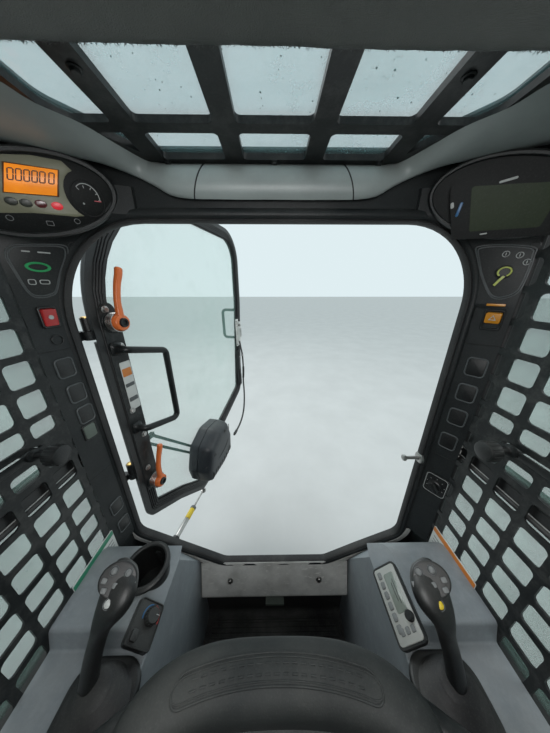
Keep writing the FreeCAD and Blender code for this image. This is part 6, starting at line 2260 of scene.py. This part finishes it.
class CAB_OT_outside(PieceOperator):
    """Finish the cab's outside: lamp lenses, gaskets, bolts and the rear window's seal"""
    bl_idname = "cab.outside"
    bl_label = "Outside"

    def build(self, context):
        self.lamps()
        self.rear_window()
        bm = bmesh.new()
        for side, _ in SIDES:
            for y in (-0.430, -0.215, 0.0, 0.215, 0.400):
                for z in (0.180, 0.390):
                    add_bolt(bm, face_place((side * 0.4752, y, z), (side, 0, 0)), 0.0100)
            for z in (0.200, 0.450, 0.900, 1.180):
                add_bolt(bm, face_place((side * 0.465, -0.5502, z), (0, -1, 0)), 0.0080)
        add_object("shell_bolts", bm, "steel", "cab")
        bm = bmesh.new()
        for side, _ in SIDES:
            panel = rounded([(-0.480, 0.128), (0.450, 0.128), (0.450, 0.442), (-0.480, 0.442)], 0.028)
            for shrink, off in ((-0.012, 0.4755), (-0.034, 0.4755)):
                path = [Vector((side * off, y, z)) for y, z in grown(panel, shrink)]
                add_sweep(bm, path, round_section(0.0032, 6), up=(1, 0, 0), closed=True)
        add_object("panel_beads", bm, "shell_paint", "cab")

    def lamps(self):
        for side, word in SIDES:
            place = face_place((side * 0.415, -0.5150, 1.4720), (0, -1, 0))
            bm = bmesh.new()
            add_frame_ring(bm, place, ring_points(0.0860, 0.0560, 0.010), ring_points(0.0740, 0.0440, 0.007),
                           -0.004,
                           0.0032, 0.0012)
            back = place @ Matrix.Translation((0, 0, -0.058))
            for k in range(5):
                fin = back @ Matrix.Translation((-0.030 + 0.015 * k, 0, 0))
                add_button(bm, fin, ring_points(0.0040, 0.0480, 0.0015), -0.010, 0.004, 0.001)
            add_object("lamp_rim_" + word, bm, "black_plastic", "cab")
            bm = bmesh.new()
            for row in (-1, 1):
                for k in range(4):
                    spot = place @ Matrix.Translation((-0.0270 + 0.0180 * k, row * 0.0105, 0))
                    add_lathe(bm, spot, [(0.0080, 0.0006), (0.0078, 0.0014), (0.0050, 0.0022), (0, 0.0028)],
                              24)
            add_object("lamp_cells_" + word, bm, "lamp_lens", "cab")

    def rear_window(self):
        bm = bmesh.new()
        slope = 0.080 / 0.730
        corners = [(-0.378, 0.762, 0.012), (0.378, 0.762, 0.012), (0.378, 1.360, 0.012),
                   (-0.378, 1.360, 0.012)]
        for shift_y in (-0.0010, -0.0205):
            path = [Vector((x, 0.520 - slope * (z - 0.700) + shift_y, z)) for x,
                    z in rounded_loop(corners, 0.0, 6)]
            add_sweep(bm, path, [(-0.007, -0.0025), (0.007, -0.0025), (0.005, 0.0025), (-0.005, 0.0025)],
                      up=(0, 1, 0.11), closed=True)
        add_object("rear_gasket", bm, "seal_rubber", "cab")
        bm = bmesh.new()
        for z in (0.120, 0.640):
            for x in (-0.400, -0.200, 0.0, 0.200, 0.400):
                add_bolt(bm, face_place((x, 0.5202, z), (0, 1, 0)), 0.0080)
        add_object("rear_bolts", bm, "steel", "cab")
        bm = bmesh.new()
        for k in range(9):
            z = 0.300 + 0.028 * k
            add_layers(bm, face_place((0, 0.5202, z), (0, 1, 0)),
                       [(ring_points(0.320, 0.0120, 0.005), 0.0),
                        (ring_points(0.318, 0.0100, 0.005), 0.0040)])
        add_object("rear_louvres", bm, "shell_paint", "cab")


class CAB_OT_stage(PieceOperator):
    """Set the floor, the lights and the camera"""
    bl_idname = "cab.stage"
    bl_label = "Stage and Camera"

    def build(self, context):
        scene = context.scene
        stage = scene.cab_stage
        half = stage.floor_size
        bm = bmesh.new()
        bmesh.ops.create_grid(bm, x_segments=8, y_segments=8, size=half)
        mesh = bpy.data.meshes.new("floor")
        bm.to_mesh(mesh)
        bm.free()
        floor = bpy.data.objects.new("floor", mesh)
        scene.collection.objects.link(floor)
        material, tree, shader = base_material("floor_sheet", Roughness=0.85)
        tree.links.new(mottled(tree, tuple(stage.floor_tone), scaled(tuple(stage.floor_tone), 0.93), 3.0),
                       shader.inputs["Base Color"])
        mesh.materials.append(material)
        world = bpy.data.worlds.new("surroundings")
        world.use_nodes = True
        back = world.node_tree.nodes["Background"]
        back.inputs["Color"].default_value = (*stage.sky, 1)
        back.inputs["Strength"].default_value = 0.95
        scene.world = world
        self.lamp("key_light", (1.8, -2.6, 4.2), (0, -0.3, 0.9), 2.4, 60)
        self.lamp("side_light", (-3.4, 0.6, 2.6), (0, 0, 0.9), 2.0, 35)
        self.lamp("cabin_fill", (0.0, 0.12, 1.30), (0, -0.55, 0.85), 0.5, 2.4)
        self.lamp("sill_fill", (0.0, -0.05, 1.34), (0, -0.50, 0.45), 0.34, 2.0)
        scene.view_settings.view_transform = "Standard"
        data = bpy.data.cameras.new("camera")
        data.sensor_fit = "VERTICAL"
        data.sensor_height = 36.0
        data.lens = 209.0 / 733.0 * 36.0
        data.clip_start = 0.01
        camera = bpy.data.objects.new("camera", data)
        camera.location = (0.004, -0.100, 1.220)
        camera.rotation_euler = (math.radians(69.8), 0.0, math.radians(179.3))
        scene.collection.objects.link(camera)
        scene.camera = camera

    def lamp(self, name, place, target, width, power):
        data = bpy.data.lights.new(name, "AREA")
        data.size = width
        data.energy = power
        lamp = bpy.data.objects.new(name, data)
        lamp.location = place
        lamp.rotation_euler = (Vector(target) - Vector(place)).to_track_quat("-Z", "Y").to_euler()
        bpy.context.scene.collection.objects.link(lamp)


class CAB_PT_panel(bpy.types.Panel):
    bl_label = "Loader Cab"
    bl_idname = "CAB_PT_panel"
    bl_space_type = "VIEW_3D"
    bl_region_type = "UI"
    bl_category = "Loader Cab"

    def draw(self, context):
        layout = self.layout
        scene = context.scene
        for label, group_name, fields in (
                ("Finishes", "cab_finish", CabFinishSettings.__annotations__),
                ("Details", "cab_detail", CabDetailSettings.__annotations__),
                ("Stage", "cab_stage", CabStageSettings.__annotations__)):
            box = layout.box()
            box.label(text=label)
            for field in fields:
                box.prop(getattr(scene, group_name), field)
        for operator in PIECES:
            layout.operator(operator.bl_idname)


PIECES = (CAB_OT_stage, CAB_OT_door_cable, CAB_OT_finishes, CAB_OT_header, CAB_OT_corner_covers,
          CAB_OT_opening_trim,
          CAB_OT_jambs, CAB_OT_pillar_switches, CAB_OT_left_pod, CAB_OT_right_pod, CAB_OT_roof, CAB_OT_felt,
          CAB_OT_lap_pad, CAB_OT_joysticks, CAB_OT_consoles, CAB_OT_footwell, CAB_OT_windows,
          CAB_OT_door_seal, CAB_OT_door_fittings, CAB_OT_motor_cover, CAB_OT_stay, CAB_OT_seat,
          CAB_OT_outside)
CLASSES = (CabFinishSettings, CabDetailSettings, CabStageSettings) + PIECES + (CAB_PT_panel,)


def register():
    for made in CLASSES:
        bpy.utils.register_class(made)
    bpy.types.Scene.cab_finish = bpy.props.PointerProperty(type=CabFinishSettings)
    bpy.types.Scene.cab_detail = bpy.props.PointerProperty(type=CabDetailSettings)
    bpy.types.Scene.cab_stage = bpy.props.PointerProperty(type=CabStageSettings)


def unregister():
    for name in ("cab_finish", "cab_detail", "cab_stage"):
        delattr(bpy.types.Scene, name)
    for made in reversed(CLASSES):
        bpy.utils.unregister_class(made)


def main():
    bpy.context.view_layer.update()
    random.seed(7)
    register()
    for operator in PIECES:
        group_name, action = operator.bl_idname.split(".")
        getattr(getattr(bpy.ops, group_name), action)()


if __name__ == "__main__":
    main()
